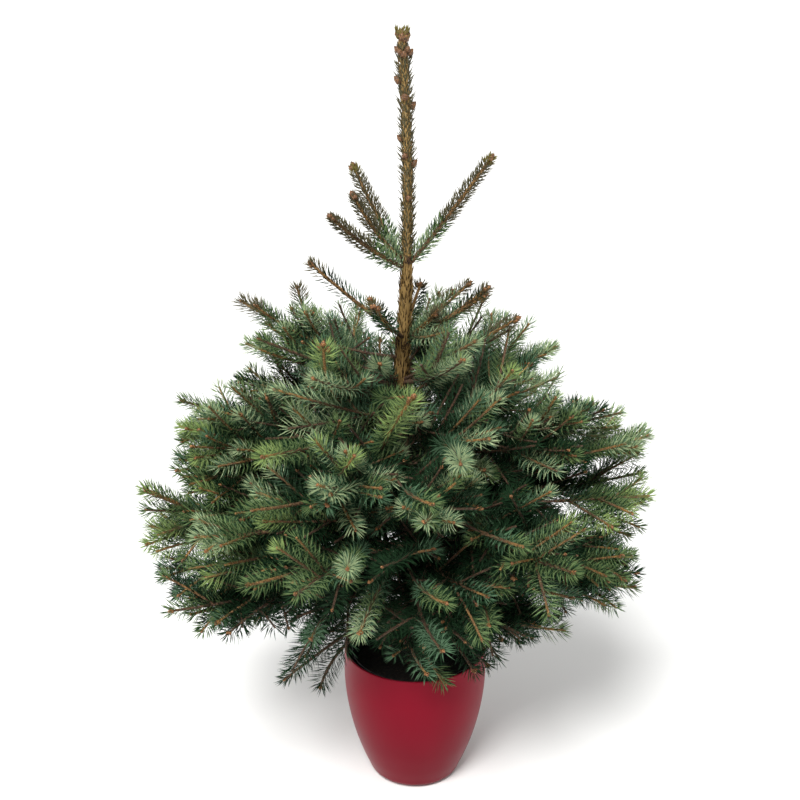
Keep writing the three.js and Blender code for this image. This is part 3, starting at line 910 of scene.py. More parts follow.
    def grow_bough(self, limb, habit, radii):
        """A bough with its leading shoot, and in turn its side shoots and those that stand or hang."""
        rng = self.rng
        axis = self.add_limb(limb, radii, 8)
        begins = max(limb.foliage_start() - 0.04, 0.05)
        points = axis[round(begins * (len(axis) - 1)) :]
        leading = self.add_shoot(points, RADII["side"], habit, 0.8, rng.choice((1, 2, 3)))
        if habit is HABITS[2]:
            leading.zones = [(0.4, "blue"), (0.75, "deep"), (1, "dull")]
            leading.thick, leading.buds, leading.radii = 1.2, 3, RADII["slender end"]
        at = begins + 0.02
        hand = rng.choice((-1, 1))
        end = 1 - habit.single / limb.length
        while at < end:
            spot = limb.at(at)
            self.grow_side(limb, habit, spot, at, hand)
            crests = habit.crest * rng.uniform(0.6, 1.4) * (0.7 + 0.6 * at)
            while crests > rng.random():
                self.grow_crest(limb, habit, spot, at)
                crests -= 1
            hand = -hand
            at += habit.spacing * rng.uniform(0.75, 1.25) / limb.length

    def widest_way(self, limb, spot, ways):
        """Of several headings, the one with the most room before the limb's skin, with that room."""
        return max(((limb.room(spot, way), way) for way in ways), key=lambda found: found[0])

    def grow_side(self, limb, habit, spot, at, hand):
        """A side shoot of a bough, with side shoots of its own if it is long."""
        rng = self.rng
        along = limb.along(at)
        splay = habit.splay + rng.uniform(-10, 8)
        lift = 32 * lean(spot.z) - 9
        ways = [leaving(along, limb.side * hand, splay + d, lift + rng.uniform(-18, 18)) for d in (-6, 0, 6)]
        room, way = self.widest_way(limb, spot, [aside(way, rng) for way in ways])
        reach = min(room - NEEDLE_REACH, LONGEST_SHOOT * rng.uniform(0.85, 1.15))
        if reach < SHORTEST_SHOOT:
            return
        points = self.grow_shoot(spot, way, reach, "side", habit, at, (0, 1, 1, 3))
        if points and reach > BEARING_SHOOT:
            self.grow_second(limb, habit, points, reach, at)

    def grow_second(self, limb, habit, points, reach, at):
        """Side shoots on the middle of a side shoot: its foot lies in shade and its end is a single spray."""
        rng = self.rng
        heading = (points[-1] - points[0]).normalized()
        side = UP.cross(heading).normalized()
        place = 0.2
        hand = rng.choice((-1, 1))
        while place < 0.66:
            spot = points[0].lerp(points[-1], place)
            lift = 30 * lean(spot.z) - 10
            ways = []
            for _ in range(2):
                splay = rng.uniform(38, 56)
                ways.append(leaving(heading, side * hand, splay, lift + rng.uniform(-26, 26)))
            room, way = self.widest_way(limb, spot, [aside(way, rng) for way in ways])
            size = min(room, reach * (1 - place) * rng.uniform(0.7, 1.0))
            if size > SHORTEST_SECOND:
                self.grow_shoot(spot, way, size, "second", habit, at + 0.2 * place, (0, 1, 1))
            hand = -hand
            place += 0.02 * rng.uniform(0.8, 1.3) / reach

    def grow_crest(self, limb, habit, spot, at):
        """A shoot that stands up from the bough, or hangs from it."""
        rng = self.rng
        stands = rng.random() < 0.4 + 0.45 * lean(spot.z)
        ways = []
        for _ in range(3):
            lift = rng.uniform(28, 60) if stands else rng.uniform(-46, -14)
            ways.append(aside(leaving(limb.along(at), limb.side, rng.uniform(-55, 55), lift), rng))
        room, way = self.widest_way(limb, spot, ways)
        left = (1 - at) * limb.length + 0.03
        reach = min(room + OVERGROWTH, left, LONGEST_CREST * rng.uniform(0.75, 1.1)) if room > 0 else 0
        if reach > SHORTEST_CREST:
            self.grow_shoot(spot, way, reach, "crest", habit, at, (0, 1, 1, 3))


@lru_cache(maxsize=1)
def crown_from(seed):
    return Crown(seed)


# ---- Geometry trees --------------------------------------------------------------------------------------

NEEDLE_SIZES = {"Needle": "Object", "Width": "Float", "Parting": "Float", "Lowest": "Float", "Lift": "Float"}
NEEDLE_POSE = {"Parting": math.radians(32), "Lowest": math.radians(128), "Lift": 0.12}
STEM_SIZES = {"Sides": "Int", "Step": "Float", "Relief": "Float", "Grain": "Vector"}
TRUNK_STEM = dict(zip(STEM_SIZES, (44, 0.0016, 0.0024, (330.0, 330.0, 46.0))))
BOUGH_STEM = dict(zip(STEM_SIZES, (7, 0.008, 0.0014, (400.0, 400.0, 400.0))))
TWIG_STEM = dict(zip(STEM_SIZES, (5, 0.014, 0.0004, (700.0, 700.0, 700.0))))
SPIRAL = 0.381966  # of a turn, from one needle to the next
NEEDLE_SEAT = 0.8  # of the twig's radius, at which needles are rooted
NEEDLE_BOW = 0.5  # how much the backs of needles look up


def growth_tree(name, sizes, build):
    """A geometry tree with named inputs. build(tree, inputs) gives its geometry before it is realized."""
    tree = bpy.data.node_groups.new(name, "GeometryNodeTree")
    tree.interface.new_socket("Geometry", in_out="INPUT", socket_type="NodeSocketGeometry")
    for label, kind in sizes.items():
        tree.interface.new_socket(label, in_out="INPUT", socket_type=f"NodeSocket{kind}")
    tree.interface.new_socket("Material", in_out="INPUT", socket_type="NodeSocketMaterial")
    tree.interface.new_socket("Geometry", in_out="OUTPUT", socket_type="NodeSocketGeometry")
    given = add(tree, "NodeGroupInput").outputs
    real = add(tree, "GeometryNodeRealizeInstances", {"Geometry": build(tree, given)})
    dressed = add(tree, "GeometryNodeSetMaterial", {"Geometry": real, "Material": given["Material"]})
    add(tree, "NodeGroupOutput", {"Geometry": dressed})
    return tree


def needle_layout(tree, given):
    """Needles in a spiral along every line, parted to both sides on a comb, and shorter at its ends."""
    names = ("gap", "left", "gone", "comb", "splay", "unruly", "needle", "thick", "radius")
    gap, left, gone, comb, splay, unruly, needle, thick, radius = (add(tree, FIELD, [name]) for name in names)
    heading, above = (add(tree, FIELD, [name], data_type="FLOAT_VECTOR") for name in ("heading", "above"))
    scatter, stray, growth = (
        add(tree, CHANCE, {2: low, 3: high, "Seed": seed})
        for low, high, seed in ((0, 0.04, 1), (-1, 1, 2), (0.88, 1.08, 3))
    )
    near_ends = ((left, 0.018, 0.3), (left, 0.016, 0.58), (left, 0.014, 0.74), (gone, 0.014, 0.62))
    combed, opened, tip_size, foot_size = (
        add(tree, RANGE, {"Value": end, "From Max": reach, "To Min": share}, interpolation_type="SMOOTHSTEP")
        for end, reach, share in near_ends
    )
    lines = add(tree, "GeometryNodeMeshToCurve", {"Mesh": given["Geometry"]})
    points = add(tree, "GeometryNodeCurveToPoints", {"Curve": lines, "Length": gap}, mode="LENGTH")

    comb = add(tree, MATH, (comb, combed), operation="MULTIPLY")
    turns = add(tree, MATH, (add(tree, "GeometryNodeInputIndex"), SPIRAL, scatter), operation="MULTIPLY_ADD")
    part = add(tree, MATH, [turns], operation="FRACT")
    swing = add(tree, MATH, (part, 2.0, -1.0), operation="MULTIPLY_ADD")
    aslant = add(tree, MATH, [swing], operation="ABSOLUTE")
    hand = add(tree, MATH, [swing], operation="SIGN")
    parting = add(tree, MATH, (comb, given["Parting"]), operation="MULTIPLY")
    short_of = add(tree, MATH, (given["Lowest"], math.pi), operation="SUBTRACT")
    below = add(tree, MATH, (comb, short_of, math.pi), operation="MULTIPLY_ADD")
    spread = add(tree, MATH, (below, parting), operation="SUBTRACT")
    bearing = add(tree, MATH, (aslant, spread, parting), operation="MULTIPLY_ADD")
    bearing = add(tree, MATH, (bearing, hand), operation="MULTIPLY")
    opening = add(tree, MATH, (unruly, stray, splay), operation="MULTIPLY_ADD")
    opening = add(tree, MATH, (opening, opened), operation="MULTIPLY")

    side = add(tree, VECTOR, (heading, above), operation="CROSS_PRODUCT")
    upward, sideways = (
        add(tree, VECTOR, {0: axis, "Scale": add(tree, MATH, [bearing], operation=wave)}, operation="SCALE")
        for axis, wave in ((above, "COSINE"), (side, "SINE"))
    )
    outward = add(tree, VECTOR, (upward, sideways), operation="ADD")
    forward, spreading = (
        add(tree, VECTOR, {0: axis, "Scale": add(tree, MATH, [opening], operation=wave)}, operation="SCALE")
        for axis, wave in ((heading, "COSINE"), (outward, "SINE"))
    )
    lifted = add(tree, VECTOR, {0: (0, 0, 1), "Scale": given["Lift"]}, operation="SCALE")
    way = add(tree, VECTOR, (forward, spreading), operation="ADD")
    way = add(tree, VECTOR, (way, lifted), operation="ADD")
    bow = add(tree, VECTOR, (heading, (0, 0, NEEDLE_BOW)), operation="ADD")
    ways = {"Primary Axis": way, "Secondary Axis": bow}
    turn = add(tree, "FunctionNodeAxesToRotation", ways, primary_axis="Z", secondary_axis="X")

    length = needle
    for share in (growth, tip_size, foot_size):
        length = add(tree, MATH, (length, share), operation="MULTIPLY")
    width = add(tree, MATH, (thick, given["Width"]), operation="MULTIPLY")
    scale = add(tree, "ShaderNodeCombineXYZ", (width, width, length))
    seat = add(tree, MATH, (radius, NEEDLE_SEAT), operation="MULTIPLY")
    root = add(tree, VECTOR, {0: outward, "Scale": seat}, operation="SCALE")
    seated = add(tree, "GeometryNodeSetPosition", {"Geometry": points.outputs["Points"], "Offset": root})
    shape = add(tree, "GeometryNodeObjectInfo", {"Object": given["Needle"]}).outputs["Geometry"]
    layout = {"Points": seated, "Instance": shape, "Rotation": turn, "Scale": scale}
    return add(tree, "GeometryNodeInstanceOnPoints", layout)


def bud_layout(tree, given):
    """One bud on every point, along its heading and at its size, each turned differently about it."""
    heading, above = (add(tree, FIELD, [name], data_type="FLOAT_VECTOR") for name in ("heading", "above"))
    spin = add(tree, VECTOR, (above, (0.01, 0, 0)), operation="ADD")
    ways = {"Primary Axis": heading, "Secondary Axis": spin}
    turn = add(tree, "FunctionNodeAxesToRotation", ways, primary_axis="Z", secondary_axis="X")
    shape = add(tree, "GeometryNodeObjectInfo", {"Object": given["Bud"]}).outputs["Geometry"]
    points = add(tree, "GeometryNodeMeshToPoints", {"Mesh": given["Geometry"]})
    size = add(tree, FIELD, ["size"])
    layout = {"Points": points, "Instance": shape, "Rotation": turn, "Scale": size}
    return add(tree, "GeometryNodeInstanceOnPoints", layout)


def stem_layout(tree, given):
    """A round stem along every line, as thick as its radius says, with relief that runs in ribs along it."""
    lines = add(tree, "GeometryNodeMeshToCurve", {"Mesh": given["Geometry"]})
    fine = add(tree, "GeometryNodeResampleCurve", {"Curve": lines, "Length": given["Step"]}, mode="LENGTH")
    circle = add(tree, "GeometryNodeCurvePrimitiveCircle", {"Resolution": given["Sides"], "Radius": 1.0})
    radius = add(tree, FIELD, ["radius"])
    parts = {"Curve": fine, "Profile Curve": circle.outputs["Curve"], "Scale": radius, "Fill Caps": True}
    stem = add(tree, "GeometryNodeCurveToMesh", parts)
    place = add(tree, "GeometryNodeInputPosition")
    ribbed = add(tree, VECTOR, (place, given["Grain"]), operation="MULTIPLY")
    ribs = add(tree, NOISE, {"Vector": ribbed, "Scale": 1.0, "Detail": 2.0}).outputs[0]
    middle = add(tree, MATH, (ribs, 0.5), operation="SUBTRACT")
    depth = add(tree, MATH, (middle, given["Relief"]), operation="MULTIPLY")
    offset = {0: add(tree, "GeometryNodeInputNormal"), "Scale": depth}
    moved = add(tree, VECTOR, offset, operation="SCALE")
    rough = add(tree, "GeometryNodeSetPosition", {"Geometry": stem, "Offset": moved})
    return add(tree, "GeometryNodeSetShadeSmooth", {"Geometry": rough})


def placed(name, data):
    """A new object in the scene."""
    made = bpy.data.objects.new(name, data)
    bpy.context.collection.objects.link(made)
    return made


def host(name, points, edges, columns):
    """A mesh of loose lines or points for a geometry tree to grow on. Its columns become attributes."""
    mesh = bpy.data.meshes.new(name)
    mesh.from_pydata(points, edges, [])
    for label, values in columns.items():
        is_vector = isinstance(values[0], Vector)
        attribute = mesh.attributes.new(label, "FLOAT_VECTOR" if is_vector else "FLOAT", "POINT")
        flat = [x for v in values for x in v] if is_vector else values
        attribute.data.foreach_set("vector" if is_vector else "value", flat)
    return placed(name, mesh)


def line_host(name, lines):
    """A host of lines, each given as its points and their fields."""
    points, edges, columns = [], [], {}
    for line, fields in lines:
        edges += [(len(points) + i, len(points) + i + 1) for i in range(len(line) - 1)]
        points += line
        for label, values in fields.items():
            columns.setdefault(label, []).extend(values)
    return host(name, points, edges, columns)


def grown(base, tree, values, kept=()):
    """The plain mesh that a geometry tree makes on a host, as a finished piece. The host goes, and so do all
    attributes that no material reads."""
    modifier = base.modifiers.new("growth", "NODES")
    modifier.node_group = tree
    for item in tree.interface.items_tree:
        if item.name in values and item.in_out == "INPUT":
            modifier[item.identifier] = values[item.name]
    seen = bpy.context.evaluated_depsgraph_get()
    mesh = bpy.data.meshes.new_from_object(base.evaluated_get(seen))
    name = base.name
    bpy.data.objects.remove(base)
    for attribute in [a for a in mesh.attributes if not a.is_internal and not a.is_required]:
        if attribute.domain == "POINT" and attribute.name not in ("position", *kept):
            mesh.attributes.remove(attribute)
    mesh.name = name
    return mesh_piece(name, mesh)


def mesh_piece(name, mesh):
    if not mesh.polygons:
        raise RuntimeError(f"{name} came out empty")
    return placed(name, mesh)


def keep_as(piece, slot, *nodes):
    """Fastens a finished piece to the frame's body and hides the nodes that it stands for. The slot is not
    used.
    """
    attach(piece, BODY)
    if nodes:
        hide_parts(*nodes)


def helper(name, corners, faces, smooth=False):
    """A small mesh that a geometry tree repeats. It isn't a piece, and is removed after use."""
    mesh = bpy.data.meshes.new(name)
    mesh.from_pydata(corners, [], faces)
    for polygon in mesh.polygons:
        polygon.use_smooth = smooth
    return placed(name, mesh)


def one_needle():
    """A needle of length 1 and half-width 1: keeled, widest at its bowed middle and sharp at both ends."""
    corners = [(0, 0, 0), (-1.1, -1, 0.48), (-1.1, 1, 0.48), (0, 0, 1)]
    return helper("needle_shape", corners, [(0, 3, 1), (0, 2, 3), (0, 1, 2), (3, 2, 1)])


def one_bud(sides, rings, roughness):
    """A bud of length 1: an egg whose rings stand out by turns, as overlapping scales do."""
    corners = [(0, 0, 0)]
    for ring in range(1, rings + 1):
        share = ring / (rings + 1)
        radius = 0.36 * math.sin(math.pi * share**0.75) ** 0.8
        for s in range(sides):
            out = radius * (1 + roughness * (1 if (s + ring) % 2 else -1))
            angle = 2 * math.pi * (s + 0.5 * ring) / sides
            corners.append((out * math.cos(angle), out * math.sin(angle), share))
    corners.append((0, 0, 1))
    faces = []
    for s in range(sides):
        t = (s + 1) % sides
        faces.append((0, 1 + t, 1 + s))
        for ring in range(rings - 1):
            low, high = 1 + ring * sides, 1 + (ring + 1) * sides
            faces.append((low + s, low + t, high + s))
            faces.append((low + t, high + t, high + s))
        faces.append((len(corners) - 1, len(corners) - 1 - sides + s, len(corners) - 1 - sides + t))
    return helper("bud_shape", corners, faces, smooth=True)


# ---- Turned shapes ---------------------------------------------------------------------------------------


def turned(name, outline, sides, finish):
    """A closed shape turned round +Z from an outline of (radius, height) pairs, from axis to axis."""
    made = bmesh.new()
    rings = []
    for radius, height in outline:
        if radius < 1e-6:
            rings.append([made.verts.new((0, 0, height))] * sides)
            continue
        angles = (2 * math.pi * s / sides for s in range(sides))
        rings.append([made.verts.new((radius * math.cos(a), radius * math.sin(a), height)) for a in angles])
    for low, high in zip(rings, rings[1:]):
        for s in range(sides):
            t = (s + 1) % sides
            corners = list(dict.fromkeys((low[s], low[t], high[t], high[s])))
            if len(corners) > 2:
                made.faces.new(corners)
    for face in made.faces:
        face.smooth = True
    mesh = bpy.data.meshes.new(name)
    made.to_mesh(mesh)
    made.free()
    mesh.materials.append(finish)
    return mesh_piece(name, mesh)


def rings_of(node):
    """The radii of a round node's rings at each height, from the lowest and from the smallest."""
    rings = {}
    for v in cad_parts[node].data.vertices:
        rings.setdefault(round(v.co.z, 5), set()).add(round(v.co.xy.length, 5))
    return {height: sorted(rings[height]) for height in sorted(rings)}


def smooth_radius(wall, height):
    """The radius at a height on the smooth curve through a wall's rings."""
    k = next((i for i in range(len(wall) - 1) if height <= wall[i + 1][0]), len(wall) - 2)
    (z0, r0), (z1, r1) = wall[k], wall[k + 1]
    slope = []
    for i in (k, k + 1):
        (za, ra), (zb, rb) = wall[max(i - 1, 0)], wall[min(i + 1, len(wall) - 1)]
        slope.append((rb - ra) / (zb - za) * (z1 - z0))
    t = (height - z0) / (z1 - z0)
    return (
        (2 * t**3 - 3 * t**2 + 1) * r0
        + (t**3 - 2 * t**2 + t) * slope[0]
        + (3 * t**2 - 2 * t**3) * r1
        + (t**3 - t**2) * slope[1]
    )


def arc(centre, radius, start, end, steps):
    """Points (radius, height) on an arc about a centre, from one angle to another in degrees."""
    out = []
    for i in range(steps + 1):
        angle = math.radians(start + (end - start) * i / steps)
        out.append((centre[0] + radius * math.cos(angle), centre[1] + radius * math.sin(angle)))
    return out


# ---- Settings --------------------------------------------------------------------------------------------


def colour_setting(name, hex_code, description):
    colour = linear(hex_code)[:3]
    return FloatVectorProperty(
        name=name, description=description, subtype="COLOR", size=3, min=0, max=1, default=colour
    )


def length_setting(name, metres, description):
    return FloatProperty(
        name=name, description=description, default=metres, min=0, unit="LENGTH", precision=4
    )


class SpruceGrowthSettings(bpy.types.PropertyGroup):
    seed: IntProperty(name="Seed", description="Start of every random draw in the crown", default=7, min=0)
    spacing: FloatProperty(name="Spacing", description="Factor on gaps between needles", default=1, min=0.3)
    width: length_setting("Needle half-width", 0.00074, "Half the thickness of a needle at its widest")
    shade: colour_setting("Shade needles", "#0A190C", "Needles deep in the crown")
    deep: colour_setting("Deep needles", "#223B25", "The darkest outer needles")
    blue: colour_setting("Blue needles", "#527054", "Needles with a blue bloom of wax")
    green: colour_setting("Green needles", "#63794C", "Plain green needles")
    sage: colour_setting("Sage needles", "#96A77D", "Pale needles with much bloom")
    fresh: colour_setting("Fresh needles", "#8AA05E", "Yellow-green needles at the tips")
    dull: colour_setting("Dull needles", "#5A5640", "Grey-green needles of the top whorl and leader")
    olive: colour_setting("Olive needles", "#6C6435", "Short olive needles round the top buds")
    golden: colour_setting("Dry needles", "#A28452", "Old golden-brown needles pressed to the trunk")
    brown: colour_setting("Withered needles", "#4A3822", "Darker dry needles among the golden ones")


class SprucePotSettings(bpy.types.PropertyGroup):
    red: colour_setting("Planter colour", "#7D0920", "Lacquer of the planter")
    rim: length_setting("Planter rim rounding", 0.0014, "Radius of the planter's rounded rim edges")
    soil_relief: length_setting("Soil relief", 0.003, "Height of the lumps in the compost")


class SpruceStageSettings(bpy.types.PropertyGroup):
    lens: FloatProperty(name="Lens", description="Focal length", default=68.03, min=1, unit="CAMERA")
    pitch: FloatProperty(
        name="Pitch", description="How far it looks down", subtype="ANGLE", default=math.radians(22.854)
    )
    key: FloatProperty(name="Key light", description="Strength of the main light", default=4.0, min=0)
    side: FloatProperty(name="Side panels", description="Power of the tall light panels", default=5.0, min=0)
    sky: FloatProperty(name="Sky light", description="Brightness of the surroundings", default=0.62, min=0)


NEEDLE_COLOURS = ("shade", "deep", "blue", "green", "sage", "fresh", "dull", "olive", "golden", "brown")
MOST_NEEDLES = 48600  # in one piece


# ---- Operators -------------------------------------------------------------------------------------------


class SPRUCE_OT_planter(bpy.types.Operator):
    """Turn the red planter, with a rounded rim and a foot ring"""

    bl_idname = "spruce.planter"
    bl_label = "Planter"

    def execute(self, context):
        settings = context.scene.spruce_pots
        rings = rings_of("planter")
        _, floor = (height for height, radii in rings.items() if radii[0] == 0)
        outer = [(height, radii[-1]) for height, radii in rings.items() if height != floor]
        inner = [(height, radii[0]) for height, radii in rings.items() if radii[0] > 0 and len(radii) == 2]
        top, edge = outer[-1][0], settings.rim
        foot = outer[0][1]
        ring, hollow, curve = 8 * MM, 1.2 * MM, 8 * MM
        outline = [(0, hollow), (foot - ring, hollow), (foot - ring + hollow, 0)]
        side = [top * i / 60 - edge * i / 60 for i in range(61)]
        outline += [(smooth_radius(outer, z), z) for z in side]
        out, back = smooth_radius(outer, top), smooth_radius(inner, top)
        outline += arc((out - edge, top - edge), edge, 0, 90, 6)[1:]
        outline += arc((back + edge, top - edge), edge, 90, 180, 6)
        low = inner[0][0]
        side = [top + (low - top) * i / 40 for i in range(3, 41)]
        outline += [(smooth_radius(inner, z), z) for z in side]
        outline += arc((inner[0][1] - curve, floor + curve), curve, 0, -90, 5)
        outline += [(0, floor)]
        finish = material("satin_red_plastic", satin_red_plastic(tuple(settings.red)))
        keep_as(turned("red_planter", outline, 168, finish), "planter_plastic", "planter")
        return {"FINISHED"}


class SPRUCE_OT_nursery_pot(bpy.types.Operator):
    """Turn the thin black nursery pot, with its rolled lip and a step inside"""

    bl_idname = "spruce.nursery_pot"
    bl_label = "Nursery pot"

    def execute(self, context):
        rings = rings_of("nursery_pot")
        foot_height, *_, under, top = rings
        foot, wall, lip = rings[foot_height][-1], rings[under][0], rings[top][-1]
        thick = wall + (wall - foot) * (top - under) / (under - foot_height) - rings[top][0]
        roll, ledge = 1.1 * MM, 1.2 * MM

        def inner(height):
            return foot + (wall - foot) * (height - foot_height) / (under - foot_height) - thick

        soil_edge = list(rings_of("soil"))[1]
        step, floor = top - 13 * MM, foot_height + thick
        bevel = 2 * MM
        outline = [(0, foot_height), (foot - bevel, foot_height), (foot, foot_height + bevel), (wall, under)]
        outline += arc((lip - roll, under + roll), roll, -90, 0, 4)
        outline += arc((lip - roll, top - roll), roll, 0, 90, 4)
        outline += arc((inner(top) + roll, top - roll), roll, 90, 180, 4)
        outline += [(inner(step), step), (inner(step) - ledge, step - ledge)]
        outline += [(inner(soil_edge + 4 * MM) - ledge, soil_edge + 4 * MM), (inner(soil_edge), soil_edge)]
        outline += [(inner(floor + 3 * MM), floor + 3 * MM), (inner(floor) - 3 * MM, floor), (0, floor)]
        finish = material("glossy_black_plastic", glossy_black_plastic)
        keep_as(turned("black_nursery_pot", outline, 144, finish), "nursery_plastic", "nursery_pot")
        return {"FINISHED"}


class SPRUCE_OT_soil(bpy.types.Operator):
    """Heap the compost round the trunk, lumpy on top"""

    bl_idname = "spruce.soil"
    bl_label = "Soil"

    def execute(self, context):
        relief = context.scene.spruce_pots.soil_relief
        rings = rings_of("soil")
        (foot_height, foot), (edge_height, edge) = [(height, rings[height][-1]) for height in list(rings)[:2]]
        top = list(rings)[-1]
        outline = [(0, foot_height), (foot, foot_height), (edge, edge_height)]
        count = 46
        for i in range(1, count + 1):
            share = 1 - i / count
            outline.append((edge * share, edge_height + (top - edge_height) * (1 - share**2)))
        piece = turned("compost", outline, 150, material("moist_compost", moist_compost))
        for v in piece.data.vertices:
            if v.co.z > edge_height - MM and v.co.xy.length < edge - 0.5 * MM:
                lump = noise.fractal(v.co * 90, 0.6, 2.1, 4)
                v.co.z += relief * (0.5 * lump - 0.25)
        keep_as(piece, "potting_soil", "soil")
        return {"FINISHED"}


class SPRUCE_OT_trunk(bpy.types.Operator):
    """Grow the trunk's bark on its line, from the cut at soil level to the bud at the tip"""

    bl_idname = "spruce.trunk"
    bl_label = "Trunk"

    def execute(self, context):
        line = [trunk_at(SOIL_TOP + (BUD_FOOT - SOIL_TOP) * i / 400) for i in range(401)]
        points = [middle for middle, _ in line]
        radii = [radius for _, radius in line]
        base = line_host("trunk_bark", [(points, {"radius": radii})])
        values = {**TRUNK_STEM, "Material": material("flaking_spruce_bark", trunk_bark)}
        piece = grown(base, growth_tree("bark_of_trunk", STEM_SIZES, stem_layout), values)
        keep_as(piece, "bark", "trunk")
        return {"FINISHED"}


class SPRUCE_OT_dead_scales(bpy.types.Operator):
    """Set rows of dead bud scales round the trunk where its whorls leave it"""

    bl_idname = "spruce.dead_scales"
    bl_label = "Dead scales"

    def execute(self, context):
        lines = []
        for height, rows in NODES:
            foot, radius = trunk_at(height - 3 * MM)
            points = [foot, foot + UP * 4 * MM, foot + UP * 8 * MM]
            splay = math.radians(54)
            line = Shoot(points, AHEAD, (radius * 1.4, radius * 1.4), 13 * MM, [(1, "")], splay, 0.6, 0.0)
            lines.append((points, {**line.fields(), "gap": [0.8 * MM / rows] * 3}))
        flake = one_needle()
        values = {"Needle": flake, "Width": 1.7 * MM, "Material": material("dry_dead_scales", dead_scales)}
        tree = growth_tree("scales_round_nodes", NEEDLE_SIZES, needle_layout)
        piece = grown(line_host("dead_scales", lines), tree, values)
        bpy.data.objects.remove(flake)
        keep_as(piece, "bark")
        return {"FINISHED"}


class SPRUCE_OT_boughs(bpy.types.Operator):
    """Grow the bark of every bough, which tapers from the trunk to the tip of its plume"""

    bl_idname = "spruce.boughs"
    bl_label = "Boughs"

    def execute(self, context):
        lines = []
        for axis, (foot, tip) in crown_from(context.scene.spruce_growth.seed).limbs:
            count = len(axis) - 1
            radii = [foot + (tip - foot) * (i / count) ** 0.7 for i in range(count + 1)]
            lines.append((axis, {"radius": radii}))
        values = {**BOUGH_STEM, "Material": material("ribbed_bough_bark", bough_bark)}
        tree = growth_tree("bark_of_boughs", STEM_SIZES, stem_layout)
        piece = grown(line_host("bough_bark", lines), tree, values)
        keep_as(piece, "bark", *BOUGH_NODES)
        return {"FINISHED"}


class SPRUCE_OT_twigs(bpy.types.Operator):
    """Grow the twigs that carry the needles: warm young ones outside, dull older ones inside, and dull ones as
    painted shade under shade and deep needles
    """

    bl_idname = "spruce.twigs"
    bl_label = "Twigs"

    def execute(self, context):
        tree = growth_tree("bark_of_twigs", STEM_SIZES, stem_layout)
        lots = {"young_twigs": [], "older_twigs": []}
        for shoot in crown_from(context.scene.spruce_growth.seed).shoots:
            fields = shoot.fields()
            # Sparse inner shoots are older; shoots that end in shade or deep needles also take the dull bark,
            # as painted shade.
            old = shoot.gap > 1 or shoot.zones[-1][1] in ("shade", "deep")
            aged = 0.3 if shoot.thick > 1 or shoot.buds == CLUSTER else 0.8
            columns = {"radius": fields["radius"], "left": [aged * left for left in fields["left"]]}
            lots["older_twigs" if old else "young_twigs"].append((shoot.points, columns))
        finishes = {
            "young_twigs": material("young_spruce_bark", young_bark),
            "older_twigs": bpy.data.materials["ribbed_bough_bark"],
        }
        for name, lines in lots.items():
            values = {**TWIG_STEM, "Material": finishes[name]}
            piece = grown(line_host(name, lines), tree, values, kept=("left",))
            keep_as(piece, "bark", *PLUME_NODES)
        return {"FINISHED"}


class SPRUCE_OT_buds(bpy.types.Operator):
    """Set resting buds at the tips of the shoots and along the leader"""

    bl_idname = "spruce.buds"
    bl_label = "Buds"

    def execute(self, context):
        seed = context.scene.spruce_growth.seed
        rng, crown = random.Random(f"buds {seed}"), crown_from(seed)
        points, heads, sizes, spins = [], [], [], []
        for shoot in crown.shoots:
            heading = shoot.heading()
            across = heading.cross(shoot.above).normalized()
            clustered = shoot.buds == CLUSTER
            large = clustered or shoot.thick > 1
            for k in range(shoot.buds):
                size = rng.uniform(0.0062, 0.0088) * (1 if k == 0 else 0.9) * (1.5 if large else 1)
                tilt = 0.0 if k == 0 else rng.uniform(0.6, 1.1)
                hand = across * (1 if k % 2 else -1) + shoot.above * rng.uniform(-0.4, 0.6)
                sunk = 0.0025 if k == 0 else 0.0045
                if clustered:
                    sunk += (1.5 * k - 4) * MM
                points.append(shoot.points[-1] - heading * sunk + hand * (2 * MM if clustered and k else 0))
                heads.append((heading + hand * tilt).normalized())
                sizes.append(size)
                spins.append(any_way(rng))
        for foot, heading, size in crown.buds:
            points.append(foot)
            heads.append(heading)
            sizes.append(size)
            spins.append(any_way(rng))
        bud = one_bud(6, 2, 0.12)
        base = host("buds", points, [], {"heading": heads, "above": spins, "size": sizes})
        tree = growth_tree("buds_on_tips", {"Bud": "Object"}, bud_layout)
        piece = grown(base, tree, {"Bud": bud, "Material": material("papery_bud_scales", bud_scales)})
        bpy.data.objects.remove(bud)
        keep_as(piece, "bark")
        return {"FINISHED"}


class SPRUCE_OT_needles(bpy.types.Operator):
    """Grow the needles, one piece for each lot of shoots of one colour"""

    bl_idname = "spruce.needles"
    bl_label = "Needles"

    def execute(self, context):
        settings = context.scene.spruce_growth
        tree = growth_tree("needles_on_shoots", NEEDLE_SIZES, needle_layout)
        needle = one_needle()
        lots = needle_lots(crown_from(settings.seed), settings.spacing)
        for colour in NEEDLE_COLOURS:
            finish = waxy_needle(colour, tuple(getattr(settings, colour)))
            values = {**NEEDLE_POSE, "Needle": needle, "Width": settings.width, "Material": finish}
            for index, lines in enumerate(lots.get(colour, [])):
                piece = grown(line_host(f"needles_{colour}_{index + 1}", lines), tree, values)
                keep_as(piece, "needles", *PLUME_NODES)
        bpy.data.objects.remove(needle)
        return {"FINISHED"}


def needle_lots(crown, spacing):
    """The needle-bearing lines by colour, in lots with few enough needles for one piece each."""
    lots = {}
    for shoot in crown.shoots + crown.sleeves:
        fields = shoot.fields()
        for colour, first, last, gap in shoot.stretches(fields["gone"]):
            step = gap * spacing * MM
            line = (shoot.points[first : last + 1], {k: v[first : last + 1] for k, v in fields.items()})
            line[1]["gap"] = [step] * len(line[0])
            group = lots.setdefault(colour, [[0, []]])
            count = (fields["gone"][last] - fields["gone"][first]) / step
            if group[-1][0] + count > MOST_NEEDLES:
                group.append([0, []])
            group[-1][0] += count
            group[-1][1].append(line)
    return {colour: [lines for _, lines in group] for colour, group in lots.items()}


